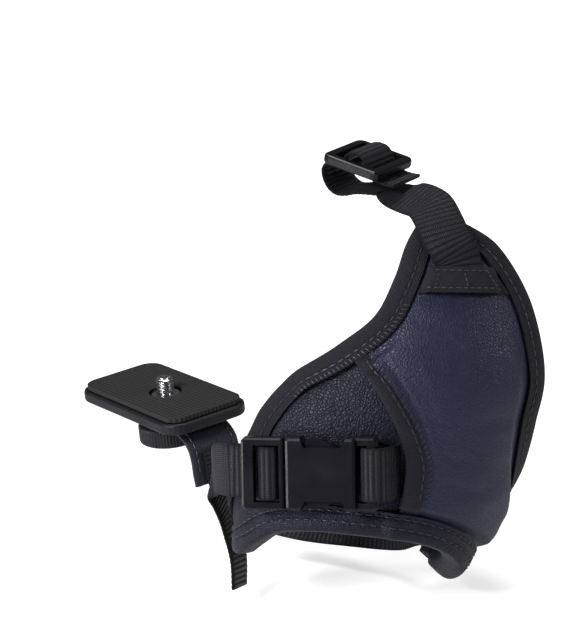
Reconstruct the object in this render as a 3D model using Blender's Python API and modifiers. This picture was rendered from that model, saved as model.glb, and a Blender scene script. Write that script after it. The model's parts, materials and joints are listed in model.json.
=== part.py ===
"""A camera hand grip strap, in the shape it has when it is worn, with the hand and camera left out.

The part's frame: Z is the axis of the tripod stud, and the origin lies on the face that the camera
stands on. The soft pieces are laid out in a frame of their own, the hand frame, which sits inside
the wrist: X across the back of the hand, Y up the hand, Z out of the back of the hand.
"""

import math

import bmesh
import bpy
import numpy as np
from mathutils import Matrix, Vector

mm = 0.001
CLEARANCE = 0.35 * mm

# Where the hand frame stands in the part's frame
HAND_PLACE = Vector((54 * mm, -100 * mm, 3 * mm))
HAND_LEAN = math.radians(18)
HAND_ROLL = math.radians(5.5)

# The hand that the strap closes round: along, centre across, half width, centre out, half depth
HAND_SECTIONS = np.array([
    (-42, 3.0, 24.0, 0, 17.5),
    (-32, 4.0, 25.5, 0, 19.0),
    (-24, 6.5, 30.5, 0, 20.5),
    (-16, 8.5, 33.3, 0, 22.0),
    (-6, 10.8, 36.8, 0, 23.5),
    (6, 13.3, 40.3, 0, 25.0),
    (18, 17.0, 41.8, 0, 26.5),
    (30, 22.2, 40.2, 0, 27.0),
    (42, 24.8, 36.8, 0, 26.5),
    (54, 26.0, 33.2, -1, 25.0),
    (66, 27.6, 29.0, -3, 22.5),
    (82, 30.4, 25.0, -8, 19.0),
]) * mm

# The pad's outline, from the wrist hem up to the knuckles: share of the way, turn in degrees, along
THUMB_EDGE = [
    (0.00, -104, -22), (0.12, -103, -10), (0.24, -82, 0), (0.34, -62, 10.5), (0.44, -56, 19.5),
    (0.54, -49, 28.5), (0.64, -32, 38), (0.74, -17, 47.5), (0.84, -10.5, 58.5), (0.93, -7.5, 68),
    (1.00, -2, 75.5),
]
HEEL_EDGE = [
    (0.00, 128, -25.5), (0.12, 132, -18.5), (0.22, 118, -9), (0.32, 97, -1), (0.42, 80, 8),
    (0.52, 70, 19), (0.62, 66, 31), (0.72, 63, 43), (0.82, 57.5, 55), (0.93, 40.2, 68.2),
    (1.00, 14, 75.5),
]
# The wrist hem: share of the way from the thumb side to the heel of the hand, along
WRIST_HEM = [
    (0.00, -22), (0.10, -22.5), (0.18, -19.5), (0.26, -15), (0.35, -14), (0.45, -15),
    (0.56, -16.5), (0.65, -19.5), (0.75, -24), (0.82, -26.5), (0.90, -27.8), (1.00, -25.5),
]
# The free edge of the overlay, down to its join with the thumb edge: share, turn, along
POCKET_EDGE = [
    (0.00, 15, -16), (0.08, 14.5, -9.5), (0.20, 14, 0), (0.30, 11.5, 8), (0.40, 3, 18),
    (0.50, -11, 28.5), (0.60, -24, 37), (0.66, -25, 42), (0.74, -17, 47.5), (0.84, -10.5, 58.5),
    (0.93, -7.5, 68), (1.00, -2, 75.5),
]
POCKET_TOP = 0.50
POCKET_BOTTOM = 0.13
# How far the overlay is lifted, at shares of the way up
OVERLAY_LEVEL = [
    (0, 1), (0.25, 1), (0.36, 0.85), (0.45, 0.72), (0.58, 0.7), (0.66, 0.3), (0.72, 0), (1, 0),
]

# Thicknesses of the sewn layers, from the palm outwards
LINING = 0.8 * mm
FOAM = 2.5 * mm
LEATHER = 1.0 * mm
FOAM_HEIGHT = LINING + CLEARANCE
BASE_HEIGHT = FOAM_HEIGHT + FOAM + CLEARANCE
BASE_TOP = BASE_HEIGHT + LEATHER

# Webbing
WEBBING = 1.2 * mm
WRIST_WIDTH = 16 * mm
UPPER_WIDTH = 15 * mm
LOWER_WIDTH = 12 * mm
STRAP_ALONG = 3.2 * mm

# The overlay stands clear of the base leather over the tunnel that the wrist webbing runs in
TUNNEL_WEBBING = BASE_TOP + CLEARANCE + WEBBING / 2 + 0.25 * mm
BINDING = 0.6 * mm
OVERLAY_LOW = BASE_TOP + CLEARANCE
OVERLAY_HIGH = TUNNEL_WEBBING + WEBBING / 2 + BINDING + 2 * CLEARANCE + 0.3 * mm
OVERLAY_TOP = OVERLAY_LOW + LEATHER
BINDING_ARM = 5.5 * mm
HEM_ARM = 5.5 * mm
BINDING_SHOULDER = 0.9 * mm
TAPE_SLACK = 0.6 * mm
TAPE_EASE = 0.3 * mm

# Fabric band that covers the sewn end of the upper webbing
BAND_LOW = 54 * mm
BAND_HIGH = 61 * mm
BAND_FROM = (-1, 3.5)
BAND_TO = (45, 35.5)
BAND_OVER = (0.5, 39.5)
BAND = 0.8 * mm

# Side-release buckle: X along the strap, Y across it, Z out from the wrist
BUCKLE_TURN = -20
BUCKLE_SHIFT = -3.5 * mm
BUCKLE_LIFT = 1.6 * mm
BUCKLE_WIDTH = 22 * mm
BUCKLE_DEPTH = 6.5 * mm
SOCKET_FROM = -7.2 * mm
SOCKET_TO = 14.3 * mm
SOCKET_WALL = 1.2 * mm
SOCKET_SIDE = 2 * mm
SOCKET_BAR = 3.4 * mm
SOCKET_SLOT = 3 * mm
PLUG_LENGTH = 13.5 * mm
PLUG_BAR = 3.8 * mm
PLUG_GRIP_BAR = 2.4 * mm
PLUG_GRIP_SLOT = 3.3 * mm
PLUG_BLOCK = 1.5 * mm
WINDOW_FROM = -1.4 * mm
WINDOW_TO = 10 * mm
WINDOW_DEPTH = 3 * mm
WINDOW_SLANT = 1.8 * mm
ARM_THICKNESS = 3.2 * mm
FRAME_THICKNESS = 4 * mm
RAIL = 2.4 * mm

# Slider on the upper webbing
SLIDER_PLACE = Vector((11.6 * mm, 96.4 * mm, 1 * mm))
SLIDER_ALONG = Vector((-0.80, 0.34, -0.50)).normalized()
SLIDER_OUT = Vector((0.113, 0.898, 0.43)).normalized()
SLIDER_LENGTH = 21 * mm
SLIDER_THICKNESS = 3 * mm
SLIDER_BAR = 3 * mm
SLIDER_RAIL = 2.6 * mm
EYE_REACH = 11.6 * mm
EYE_DROP = 9.8 * mm

# Base plate under the camera
PLATE_TURN = math.radians(-55)
PLATE_LENGTH = 62 * mm
PLATE_WIDTH = 34 * mm
PLATE_THICKNESS = 4 * mm
PLATE_OFFSET = -2 * mm
PLATE_CORNER = 7 * mm
RUBBER = 1.5 * mm
RUBBER_INSET = 1.5 * mm
TAB_THICKNESS = 2 * mm
TAB_WIDTH = 20 * mm
STUD_RADIUS = 3.1 * mm
STUD_REACH = 5.5 * mm
STUD_NECK = 2.5 * mm
STUD_HOLE = STUD_RADIUS + 0.3 * mm
RING_RADIUS = 5 * mm
RING_THICKNESS = 0.8 * mm
RING_RECESS = 6 * mm
WASHER_RADIUS = 8 * mm
WASHER_THICKNESS = 0.8 * mm
EYELET_RADIUS = 6.5 * mm
EYELET_BARREL = 4.6 * mm
EYELET_FLANGE = 0.5 * mm
KNOB_RADIUS = 11 * mm
KNOB_HEIGHT = 7 * mm
KNOB_LOBES = 24
KNOB_LOBE_DEPTH = 0.45 * mm
KNOB_HOLE = 2.6 * mm

BLACK_LEATHER = ("black_leather", (0.030, 0.030, 0.040), 0.5, 0)
BLACK_TAPE = ("black_tape", (0.012, 0.012, 0.014), 0.8, 0)
BLACK_WEBBING = ("black_webbing", (0.018, 0.018, 0.022), 0.7, 0)
BLACK_SUEDE = ("black_suede", (0.030, 0.030, 0.032), 0.95, 0)
GREY_FOAM = ("grey_foam", (0.09, 0.09, 0.09), 0.95, 0)
BLACK_PLASTIC = ("black_plastic", (0.015, 0.015, 0.018), 0.45, 0)
BLACK_RUBBER = ("black_rubber", (0.02, 0.02, 0.02), 0.9, 0)
STEEL = ("bright_steel", (0.6, 0.6, 0.62), 0.3, 1)
NYLON = ("white_nylon", (0.7, 0.7, 0.68), 0.5, 0)


# Curves and surfaces

def through(knots, values, at):
    """A smooth curve through the values at the knots, read at the numbers `at`."""
    knots = np.asarray(knots, float)
    values = np.asarray(values, float)
    at = np.asarray(at, float)
    ends = np.arange(len(knots))
    before, after = np.maximum(ends - 1, 0), np.minimum(ends + 1, len(knots) - 1)
    slopes = (values[after] - values[before]) / (knots[after] - knots[before])[:, None]
    left = np.clip(np.searchsorted(knots, at, side="right") - 1, 0, len(knots) - 2)
    span = (knots[left + 1] - knots[left])[..., None]
    share = (at - knots[left])[..., None] / span
    rest = 1 - share
    return (rest**2 * (1 + 2 * share) * values[left] + share**2 * (3 - 2 * share) * values[left + 1]
            + span * share * rest * (rest * slopes[left] - share * slopes[left + 1]))


def smooth_path(points, count):
    """`count` points, evenly spread along a smooth curve through the given ones."""
    points = np.asarray(points, float)
    steps = np.linalg.norm(np.diff(points[:, :3], axis=0), axis=1)
    way = np.concatenate([[0], np.cumsum(steps)])
    return through(way, points, np.linspace(0, way[-1], count))


def unit(vectors):
    return vectors / np.linalg.norm(vectors, axis=-1, keepdims=True)


def ramp(x):
    """0 below 0, 1 above 1, smooth between."""
    x = np.clip(x, 0, 1)
    return x * x * (3 - 2 * x)


def skin(turn, along):
    """The hand's surface: an ellipse round the hand at each distance along it."""
    across, width, out, depth = np.moveaxis(
        through(HAND_SECTIONS[:, 0], HAND_SECTIONS[:, 1:], along), -1, 0)
    angle = np.radians(turn)
    return np.stack([across + width * np.sin(angle), along, out + depth * np.cos(angle)], -1)


def slopes_at(turn, along):
    """How the surface point moves per degree of turn and per metre along the hand."""
    step = 0.05
    by_turn = (skin(turn + step, along) - skin(turn - step, along)) / (2 * step)
    reach = 0.1 * mm
    by_along = (skin(turn, along + reach) - skin(turn, along - reach)) / (2 * reach)
    return by_turn, by_along


def form(turn, along, height):
    """Points at a height above the hand's surface."""
    turn, along, height = np.broadcast_arrays(
        *(np.asarray(v, float) for v in (turn, along, height)))
    by_turn, by_along = slopes_at(turn, along)
    return skin(turn, along) + height[..., None] * unit(np.cross(by_turn, by_along))


def stations(table, at):
    """Turn and along of an outline, read at shares of the way."""
    table = np.array(table, float)
    turn, along = np.moveaxis(through(table[:, 0], table[:, 1:], at), -1, 0)
    return turn, along * mm


def hem_along(share):
    table = np.array(WRIST_HEM, float)
    return through(table[:, 0], table[:, 1:], share)[..., 0] * mm


def hem_share(turn):
    """Share of the way along the hem at a turn."""
    return (turn - THUMB_EDGE[0][1]) / (HEEL_EDGE[0][1] - THUMB_EDGE[0][1])


def panel(left_edge, share, way):
    """Turn and along at shares of the way up and across a panel whose first row is on the hem."""
    left_turn, left_along = stations(left_edge, share)
    right_turn, right_along = stations(HEEL_EDGE, share)
    turn = left_turn + (right_turn - left_turn) * way
    along = left_along + (right_along - left_along) * way
    first_turn = left_edge[0][1] + (HEEL_EDGE[0][1] - left_edge[0][1]) * way
    first_along = (left_edge[0][2] + (HEEL_EDGE[0][2] - left_edge[0][2]) * way) * mm
    return turn, along + (hem_along(hem_share(first_turn)) - first_along) * (1 - share)**3


def distance(edge, turn, along):
    """How far points on the base leather lie from one of its edges."""
    line = form(*stations(edge, np.linspace(0, 1, 160)), BASE_TOP)
    points = form(turn, along, BASE_TOP)
    return np.linalg.norm(points[..., None, :] - line, axis=-1).min(-1)


def overlay_point(share, way, above=0):
    """A point above the overlay's inner face, which is high over the tunnel and low where sewn."""
    turn, along = panel(POCKET_EDGE, share, way)
    from_hem = ramp((share - 0.086) / 0.038)
    sewn = BINDING_ARM + 2.2 * mm
    from_heel = ramp((distance(HEEL_EDGE, turn, along) - sewn) / (5 * mm))
    from_thumb = ramp((distance(THUMB_EDGE, turn, along) - sewn) / (3 * mm))
    level = np.interp(share, *np.transpose(OVERLAY_LEVEL))
    lift = (OVERLAY_HIGH - OVERLAY_LOW) * from_hem * from_heel * from_thumb * level
    return form(turn, along, OVERLAY_LOW + lift + above)


# Objects

def clear_scene():
    for thing in list(bpy.data.objects):
        bpy.data.objects.remove(thing)


def material(finish):
    name, colour, roughness, metallic = finish
    made = bpy.data.materials.get(name) or bpy.data.materials.new(name)
    made.use_nodes = True
    shader = made.node_tree.nodes["Principled BSDF"]
    shader.inputs["Base Color"].default_value = (*colour, 1)
    shader.inputs["Roughness"].default_value = roughness
    shader.inputs["Metallic"].default_value = metallic
    return made


def collection(name, hidden=False):
    made = bpy.data.collections.new(name)
    bpy.context.scene.collection.children.link(made)
    made.hide_render = hidden
    return made


def add(name, mesh, parent, finish, smooth=40):
    thing = bpy.data.objects.new(name, mesh)
    parts.objects.link(thing)
    thing.parent = parent
    mesh.materials.append(material(finish))
    mesh.shade_smooth()
    mesh.set_sharp_from_angle(angle=math.radians(smooth))
    return thing


def frame(name, matrix, parent=None):
    """An empty that holds pieces in a frame of their own."""
    made = bpy.data.objects.new(name, None)
    parts.objects.link(made)
    made.parent = parent
    made.matrix_local = matrix
    return made


def solidify(thing, thickness, offset):
    wall = thing.modifiers.new("wall", "SOLIDIFY")
    wall.thickness = thickness
    wall.offset = offset
    wall.use_even_offset = True
    return thing


def sheet(name, points, thickness, parent, finish, offset=0):
    """A wall laid over a grid of points: offset 1 puts it outside the grid, 0 half on each side."""
    rows, columns = points.shape[:2]
    bm = bmesh.new()
    bmesh.ops.create_grid(bm, x_segments=columns - 1, y_segments=rows - 1, size=1)
    for vertex, place in zip(bm.verts, points.reshape(-1, 3)):
        vertex.co = place
    mesh = bpy.data.meshes.new(name)
    bm.to_mesh(mesh)
    bm.free()
    return solidify(add(name, mesh, parent, finish), thickness, offset)


def ribbon(name, path, width, thickness, parent, finish):
    """A strap along a path of points, each with the direction of its width and the drop of its edges."""
    centre, side, drop = path[:, :3], path[:, 3:6], path[:, 6:]
    along = unit(np.gradient(centre, axis=0))
    side = unit(side - np.sum(side * along, axis=1, keepdims=True) * along)
    down = np.cross(along, side) * drop
    columns = np.linspace(-1, 1, 3 if drop.max() > 0 else 2)
    points = [centre + side * width / 2 * x + down * x * x for x in columns]
    return sheet(name, np.stack(points, 1), thickness, parent, finish)


def block(low, high):
    """A box between two corners, as an object for joining or cutting."""
    bm = bmesh.new()
    bmesh.ops.create_cube(bm, size=1)
    size = Vector(high) - Vector(low)
    middle = (Vector(high) + Vector(low)) / 2
    bmesh.ops.scale(bm, vec=size, verts=bm.verts)
    bmesh.ops.translate(bm, vec=middle, verts=bm.verts)
    return as_tool(bm, "block")


def as_tool(bm, name):
    mesh = bpy.data.meshes.new(name)
    bm.to_mesh(mesh)
    bm.free()
    return tool(name, mesh)


def tool(name, mesh):
    thing = bpy.data.objects.new(name, mesh)
    cutters.objects.link(thing)
    thing.hide_render = True
    thing.display_type = "WIRE"
    return thing


def slab(outline, low, high):
    """A flat outline given thickness between two heights."""
    bm = bmesh.new()
    ring = [bm.verts.new((x, y, low)) for x, y in outline]
    base = bm.faces.new(ring)
    raised = bmesh.ops.extrude_face_region(bm, geom=[base])
    top = [v for v in raised["geom"] if isinstance(v, bmesh.types.BMVert)]
    bmesh.ops.translate(bm, vec=(0, 0, high - low), verts=top)
    bmesh.ops.recalc_face_normals(bm, faces=bm.faces)
    return as_tool(bm, "slab")


def rounded(length, width, corner, middle=0, steps=6):
    """Outline of a rectangle with round corners, centred on (middle, 0)."""
    points = []
    for number, (sx, sy) in enumerate([(1, 1), (-1, 1), (-1, -1), (1, -1)]):
        for step in range(steps + 1):
            angle = math.pi / 2 * (number + step / steps)
            points.append((middle + sx * (length / 2 - corner) + corner * math.cos(angle),
                           sy * (width / 2 - corner) + corner * math.sin(angle)))
    return points


def bevelled(thing, width, segments=2):
    edge = thing.modifiers.new("edge", "BEVEL")
    edge.width = width
    edge.segments = segments
    edge.limit_method = "ANGLE"
    edge.angle_limit = math.radians(50)
    return thing


def evaluated_mesh(thing):
    graph = bpy.context.evaluated_depsgraph_get()
    return bpy.data.meshes.new_from_object(thing.evaluated_get(graph))


def built(name, base, joined, cut, parent, finish):
    """Joins and cuts tools into one named piece, with the result applied."""
    for operation, others in (("UNION", joined), ("DIFFERENCE", cut)):
        for other in others:
            step = base.modifiers.new(operation, "BOOLEAN")
            step.operation = operation
            step.object = other
    mesh = evaluated_mesh(base)
    mesh.name = name
    mesh.materials.clear()
    return add(name, mesh, parent, finish, smooth=30)


def turned(name, profile, parent, finish, steps=28):
    """A turned piece: an (radius, height) profile, top to bottom on its outside, spun about Z."""
    mesh = bpy.data.meshes.new(name)
    loop = [(radius, 0, height) for radius, height in profile]
    mesh.from_pydata(loop, [(i, (i + 1) % len(loop)) for i in range(len(loop))], [])
    thing = add(name, mesh, parent, finish)
    spin = thing.modifiers.new("spin", "SCREW")
    spin.angle = math.tau
    spin.steps = steps
    spin.render_steps = steps
    spin.use_merge_vertices = True
    spin.merge_threshold = 0.01 * mm
    return thing


# Sewn pad

def make_layer(name, height, thickness, finish):
    share = np.linspace(0, 1, 16)[:, None]
    even = np.linspace(-1, 1, 20)[None, :]
    way = 0.5 + 0.2 * even + 0.3 * np.sin(even * math.pi / 2)
    turn, along = panel(THUMB_EDGE, *np.broadcast_arrays(share, way))
    return sheet(name, form(turn, along, height), thickness, hand, finish, offset=1)


def make_overlay():
    share = np.concatenate([[0, 0.045, 0.085, 0.105, 0.125], np.linspace(0.17, 1, 18)])[:, None]
    even = np.linspace(-1, 1, 17)[None, :]
    way = 0.5 + 0.25 * even + 0.25 * np.sin(even * math.pi / 2)
    points = overlay_point(*np.broadcast_arrays(share, way))
    return sheet("overlay_leather", points, LEATHER, hand, BLACK_LEATHER, 1)


def tape_section(arm):
    """A folded tape's section: depth in from the edge, and share of its height."""
    out = -BINDING_SHOULDER
    return [(arm, 0), (0, 0), (out, 0.18), (out, 0.82), (0, 1), (arm, 1)]


def channel(name, turn, along, low, high, arm, finish):
    """A tape folded over an edge: one arm under the layers, one over them.

    The path keeps the layers on its right, seen from outside the hand."""
    edge = form(turn, along, 0)
    by_turn, by_along = slopes_at(turn, along)
    normal = unit(np.cross(by_turn, by_along))
    inward = unit(np.cross(unit(np.gradient(edge, axis=0)), normal))
    # Solves for the steps in turn and along that make one metre of inward travel
    uu = np.sum(by_turn * by_turn, 1)
    vv = np.sum(by_along * by_along, 1)
    uv = np.sum(by_turn * by_along, 1)
    iu = np.sum(by_turn * inward, 1)
    iv = np.sum(by_along * inward, 1)
    size = uu * vv - uv * uv
    turn_step = (iu * vv - iv * uv) / size
    along_step = (iv * uu - iu * uv) / size
    under = low - CLEARANCE - BINDING / 2 - TAPE_SLACK
    over = high + CLEARANCE + BINDING / 2 + TAPE_EASE
    points = [form(turn + turn_step * depth, along + along_step * depth,
                   under + (over - under) * share) for depth, share in tape_section(arm)]
    return sheet(name, np.stack(points, 1), BINDING, hand, finish)


def make_edge_binding():
    """Tape from the thumb side's lower corner, over the top, down to the heel side's corner."""
    up = np.linspace(0, 1, 30)
    top_turn = np.linspace(THUMB_EDGE[-1][1], HEEL_EDGE[-1][1], 4)[1:-1]
    thumb_turn, thumb_along = stations(THUMB_EDGE, up)
    heel_turn, heel_along = stations(HEEL_EDGE, up[::-1])
    turn = np.concatenate([thumb_turn, top_turn, heel_turn])
    top_along = np.full(len(top_turn), THUMB_EDGE[-1][2] * mm)
    along = np.concatenate([thumb_along, top_along, heel_along])
    share = np.concatenate([up, np.ones(len(top_turn)), up[::-1]])
    on_thumb_side = np.arange(len(turn)) < len(up)
    rise = np.where(on_thumb_side, ramp((share - POCKET_TOP - 0.01) / 0.06), 1)
    high = BASE_TOP + (OVERLAY_TOP - BASE_TOP) * rise
    return channel("edge_binding", turn, along, 0, high, BINDING_ARM, BLACK_TAPE)


def make_hem_binding():
    """Leather folded over the wrist hem, between the two ends of the edge binding."""
    share = np.linspace(0.92, 0.085, 28)
    turn = THUMB_EDGE[0][1] + share * (HEEL_EDGE[0][1] - THUMB_EDGE[0][1])
    pocket = hem_share(POCKET_EDGE[0][1])
    high = BASE_TOP + (OVERLAY_TOP - BASE_TOP) * ramp((share - pocket + 0.03) / 0.03)
    return channel("hem_binding", turn, hem_along(share), 0, high, HEM_ARM, BLACK_LEATHER)


def make_pocket_binding():
    """Tape folded over the overlay's free edge."""
    share = np.linspace(POCKET_BOTTOM, POCKET_TOP, 17)
    across = np.linalg.norm(np.diff(overlay_point(share[:, None] * [1, 1], np.array([[0, 0.1]])),
                                    axis=1), axis=2)[:, 0] / 0.1
    under = -CLEARANCE - BINDING / 2
    over = LEATHER + CLEARANCE + BINDING / 2
    points = [overlay_point(share, depth / across, under + (over - under) * height)
              for depth, height in tape_section(BINDING_ARM)]
    return sheet("pocket_binding", np.stack(points, 1), BINDING, hand, BLACK_TAPE)


def make_anchor_band():
    up = np.linspace(0, 1, 3)[:, None]
    way = np.linspace(0, 1, 21)[None, :]
    left = BAND_FROM[0] + (BAND_FROM[1] - BAND_FROM[0]) * up
    right = BAND_TO[0] + (BAND_TO[1] - BAND_TO[0]) * up
    turn = left + (right - left) * way
    along = BAND_LOW + (BAND_HIGH - BAND_LOW) * up + 0 * way
    over = ramp((turn - BAND_OVER[0]) / 4) * ramp((BAND_OVER[1] - turn) / 4)
    height = OVERLAY_TOP + CLEARANCE + (WEBBING + CLEARANCE) * over
    return sheet("anchor_band", form(turn, along, height), BAND, hand, BLACK_TAPE, 1)


# Webbing

def in_frame(matrix, x, y, z):
    return np.array(matrix @ Vector((x, y, z)))


def free(place, side, drop=0):
    """A path point in millimetres, the direction across the strap there, and its edges' drop."""
    return np.concatenate([np.array(place) * mm, unit(np.array(side)), [drop]])


def on_hand(turn, along, height, half_width=WRIST_WIDTH / 2):
    """A path point on the hand, for a strap that runs round it."""
    place = form(turn, along * mm, height)
    side = form(turn, along * mm + half_width, height) - form(turn, along * mm - half_width, height)
    return np.concatenate([place, unit(side), [0]])


def in_buckle(x, z):
    place = in_frame(buckle_matrix, x * mm, 0, z * mm)
    return np.concatenate([place, buckle_matrix.col[1][:3], [0]])


def in_tunnel(turn, along):
    """A path point under the overlay, for a strap in line with the buckle."""
    normal = unit(np.cross(*slopes_at(turn, along * mm)))
    side = np.array(buckle_matrix.col[1][:3])
    place = form(turn, along * mm, TUNNEL_WEBBING + 0.05 * mm)
    return np.concatenate([place, unit(side - side.dot(normal) * normal), [0]])


def make_short_webbing():
    """From its sewn end in the tunnel, over the socket's bar and back under it."""
    bar = (SOCKET_TO + SOCKET_SLOT) / mm
    loop = [in_buckle(bar + past, z) for past, z in (
        (8.6, -3.7), (7.4, -1.3), (6.3, 1.6), (5.2, 4.4), (4.0, 5.7), (2.4, 6.15), (0.6, 6.05),
        (-0.85, 5.1), (-1.4, 3.3), (-1.35, 1.6), (0.0, 0.0), (1.9, -0.3), (3.4, -0.6), (4.6, -1.3),
        (5.6, -2.3))]
    tunnel = [in_tunnel(turn, along) for turn, along in (
        (56, 3.3), (50, 3.6), (42, 3.9), (34, 4.1), (26, 4.1), (20, 4.1), (16, 4.0), (13.4, 3.9),
        (12, 3.9))]
    path = smooth_path(tunnel + loop, 64)
    return ribbon("wrist_webbing_short", path, WRIST_WIDTH, WEBBING, hand, BLACK_WEBBING)


def make_long_webbing():
    """From its loose tail, over the plug's grip bar, round the thumb side and palm to the heel."""
    near = TUNNEL_WEBBING
    over_edge = BASE_TOP + 2 * CLEARANCE + BINDING + WEBBING / 2 + 0.25 * mm
    over_wing = OVERLAY_TOP + 2 * CLEARANCE + BINDING + WEBBING / 2 + 0.45 * mm
    outer = over_edge + WEBBING + CLEARANCE
    tail = [
        free((-28.5, -37, -14), (0.25, 0, -0.97)),
        free((-28.8, -28, -14), (0.28, 0, -0.96)),
        free((-30.5, -20, -14), (0.32, 0, -0.95)),
        free((-32.4, -12.5, -13), (0.30, 0.25, -0.92)),
        free((-34.6, -6.0, -10), (0.22, 0.65, -0.72)),
        free((-36.4, -1.2, -5.5), (0.15, 0.92, -0.35)),
        on_hand(-91, 1.6, outer + 0.5 * mm),
        on_hand(-76, 2.8, outer + 0.6 * mm),
    ]
    grip = [in_buckle(x, z) for x, z in (
        (-26.0, -0.5), (-23.0, 0.6), (-20.0, 1.15), (-17.8, 1.1), (-16.3, 1.6), (-15.4, 2.9),
        (-15.1, 4.4), (-14.2, 5.6), (-12.4, 6.0), (-10.8, 5.5), (-10.12, 4.2), (-10.1, 2.6),
        (-10.5, 0.9), (-12.0, 0.0), (-14.0, -0.35), (-18.0, -0.5), (-22.0, -1.4), (-26.0, -3.1))]
    loop = [
        on_hand(turn, along, height) for turn, along, height in (
            (-74, 2.8, over_edge), (-92, 2.2, over_edge), (-108, 1.2, over_edge),
            (-125, 0.2, near + 0.3 * mm), (-145, -0.6, near), (-165, -1.2, near),
            (-185, -2.0, near), (-205, -3.0, near + 1.0 * mm), (-220, -4.8, over_wing),
            (-232, -7.8, over_wing), (-242, -10.2, over_wing), (-252, -12, over_wing))]
    path = smooth_path(tail + grip + loop, 120)
    return ribbon("wrist_webbing_long", path, WRIST_WIDTH, WEBBING, hand, BLACK_WEBBING)


def in_slider(x, z):
    place = in_frame(slider_matrix, x * mm, 0, z * mm)
    return np.concatenate([place, -slider_matrix.col[1].xyz, [0]])


def leaning(turn, along, height, drop):
    """A path point on the pad, for a strap that runs up it and leans to the thumb side."""
    by_turn, by_along = slopes_at(turn, along * mm)
    lean = math.radians(19)
    side = unit(by_turn) * math.cos(lean) + unit(by_along) * math.sin(lean)
    return np.concatenate([form(turn, along * mm, height), unit(side), [drop * mm]])


def make_upper_webbing():
    """From under the anchor band, over the knuckles, round the camera's lug and into the slider."""
    low = OVERLAY_TOP + CLEARANCE + WEBBING / 2
    crossing = OVERLAY_TOP + 2 * CLEARANCE + BINDING + WEBBING / 2
    on_pad = [leaning(*place) for place in (
        (22.0, 54.5, low + 0.1 * mm, 0.9), (19.9, 59.6, low + 0.1 * mm, 0.9),
        (18.5, 62.4, low + 0.15 * mm, 0.8), (16.5, 64.4, low + 1.0 * mm, 0.4),
        (13.9, 66.1, crossing + 1.05 * mm, 0.15), (10.7, 68.7, crossing + 1.3 * mm, 0.3),
        (6.7, 73, crossing + 1.0 * mm, 0.35))]
    off_pad = [free((30.0, 82.6, 19.0), (0.82, 0.45, -0.33), 0.2 * mm),
               free((27.0, 84.6, 14.4), (0.80, 0.52, -0.28)),
               free((22.9, 86.4, 9.6), (0.74, 0.50, -0.42))]
    eye = EYE_REACH / mm
    drop = EYE_DROP / mm
    turn_back = [in_slider(x, z) for x, z in (
        (-11, -5.0), (-6, -5.9), (-1, 2.4 - drop), (2.5, 0.7 - drop), (5.5, -drop),
        (8.3, 0.9 - drop), (eye - 1.2, 3.0 - drop), (eye - 0.1, -4.2), (eye - 0.2, -2.6),
        (eye - 1.2, -1.4), (8.8, -1.0), (6.6, -0.7), (5.0, 0.9), (3.8, 3.2), (2.2, 4.7),
        (0, 5.1), (-2.2, 4.7), (-3.8, 3.2), (-5.0, 0.9), (-6.6, -0.7), (-8.8, -1.0),
        (-12, -1.0), (-15, -0.5))]
    path = smooth_path(on_pad + off_pad + turn_back, 110)
    return ribbon("upper_webbing", path, UPPER_WIDTH, WEBBING, hand, BLACK_WEBBING)


def in_plate(x, z):
    """A path point beside the plate, in the hand frame, and the direction across the strap."""
    to_hand = hand_matrix.inverted() @ plate_matrix
    return np.concatenate([in_frame(to_hand, x * mm, 0, z * mm), to_hand.col[1].xyz, [0]])


def make_lower_webbing():
    """From the leather tab's end, round behind the palm, to the inside of the heel wing."""
    inside = -2 * CLEARANCE - BINDING - WEBBING / 2
    tab_side = [in_plate(x, z) for x, z in (
        (29.9, -13.5), (30.4, -19), (31.2, -25), (34.5, -30.5), (40.5, -33))]
    behind = [free((-21, -18, -61), (0.55, 0.72, -0.42)), free((-8, -20, -49), (0.40, 0.84, -0.36)),
              free((8, -20.5, -37), (0.22, 0.95, -0.20)), free((22, -20.5, -25.5), (0.10, 0.99, -0.10))]
    wing = [on_hand(turn, along, height) for turn, along, height in (
        (130, -19.2, inside - 1.5 * mm), (121, -18.8, inside - 1.2 * mm),
        (110, -18.2, inside - 0.8 * mm), (98, -17.6, inside - 0.6 * mm))]
    path = smooth_path(tab_side + behind + wing, 40)
    return ribbon("lower_webbing", path, LOWER_WIDTH, WEBBING, hand, BLACK_WEBBING)


# Buckle and slider

def make_socket():
    half = BUCKLE_WIDTH / 2
    body = slab([(SOCKET_FROM, -half), (SOCKET_TO, -half), (SOCKET_TO, half),
                 (SOCKET_FROM, half)], 0, BUCKLE_DEPTH)
    bevelled(body, 1.0 * mm)
    frame_end = SOCKET_TO + SOCKET_SLOT + SOCKET_BAR
    middle = BUCKLE_DEPTH / 2 - 0.3 * mm
    low = middle - FRAME_THICKNESS / 2
    high = middle + FRAME_THICKNESS / 2
    bars = slab([(SOCKET_TO - 2 * mm, -half), (frame_end - 1 * mm, -half), (frame_end, 1 * mm - half),
                 (frame_end, half - 1 * mm), (frame_end - 1 * mm, half), (SOCKET_TO - 2 * mm, half)],
                low, high)
    bevelled(bars, 0.8 * mm)
    slot = block((SOCKET_TO, -half + RAIL, -1 * mm), (SOCKET_TO + SOCKET_SLOT, half - RAIL,
                                                      BUCKLE_DEPTH + 1 * mm))
    cavity = block((SOCKET_FROM - 1 * mm, -half + SOCKET_SIDE, SOCKET_WALL),
                   (SOCKET_TO - SOCKET_SIDE, half - SOCKET_SIDE, BUCKLE_DEPTH - SOCKET_WALL))
    windows = []
    for side in (1, -1):
        outer = side * (half + 1 * mm)
        inner = side * (half - WINDOW_DEPTH)
        outline = [(WINDOW_FROM - WINDOW_SLANT, outer), (WINDOW_FROM, inner),
                   (WINDOW_TO, inner), (WINDOW_TO + WINDOW_SLANT, outer)]
        windows.append(slab(outline[::side], -1 * mm, BUCKLE_DEPTH + 1 * mm))
    return built("buckle_socket", body, [bars], [slot, cavity, *windows], buckle, BLACK_PLASTIC)


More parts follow.
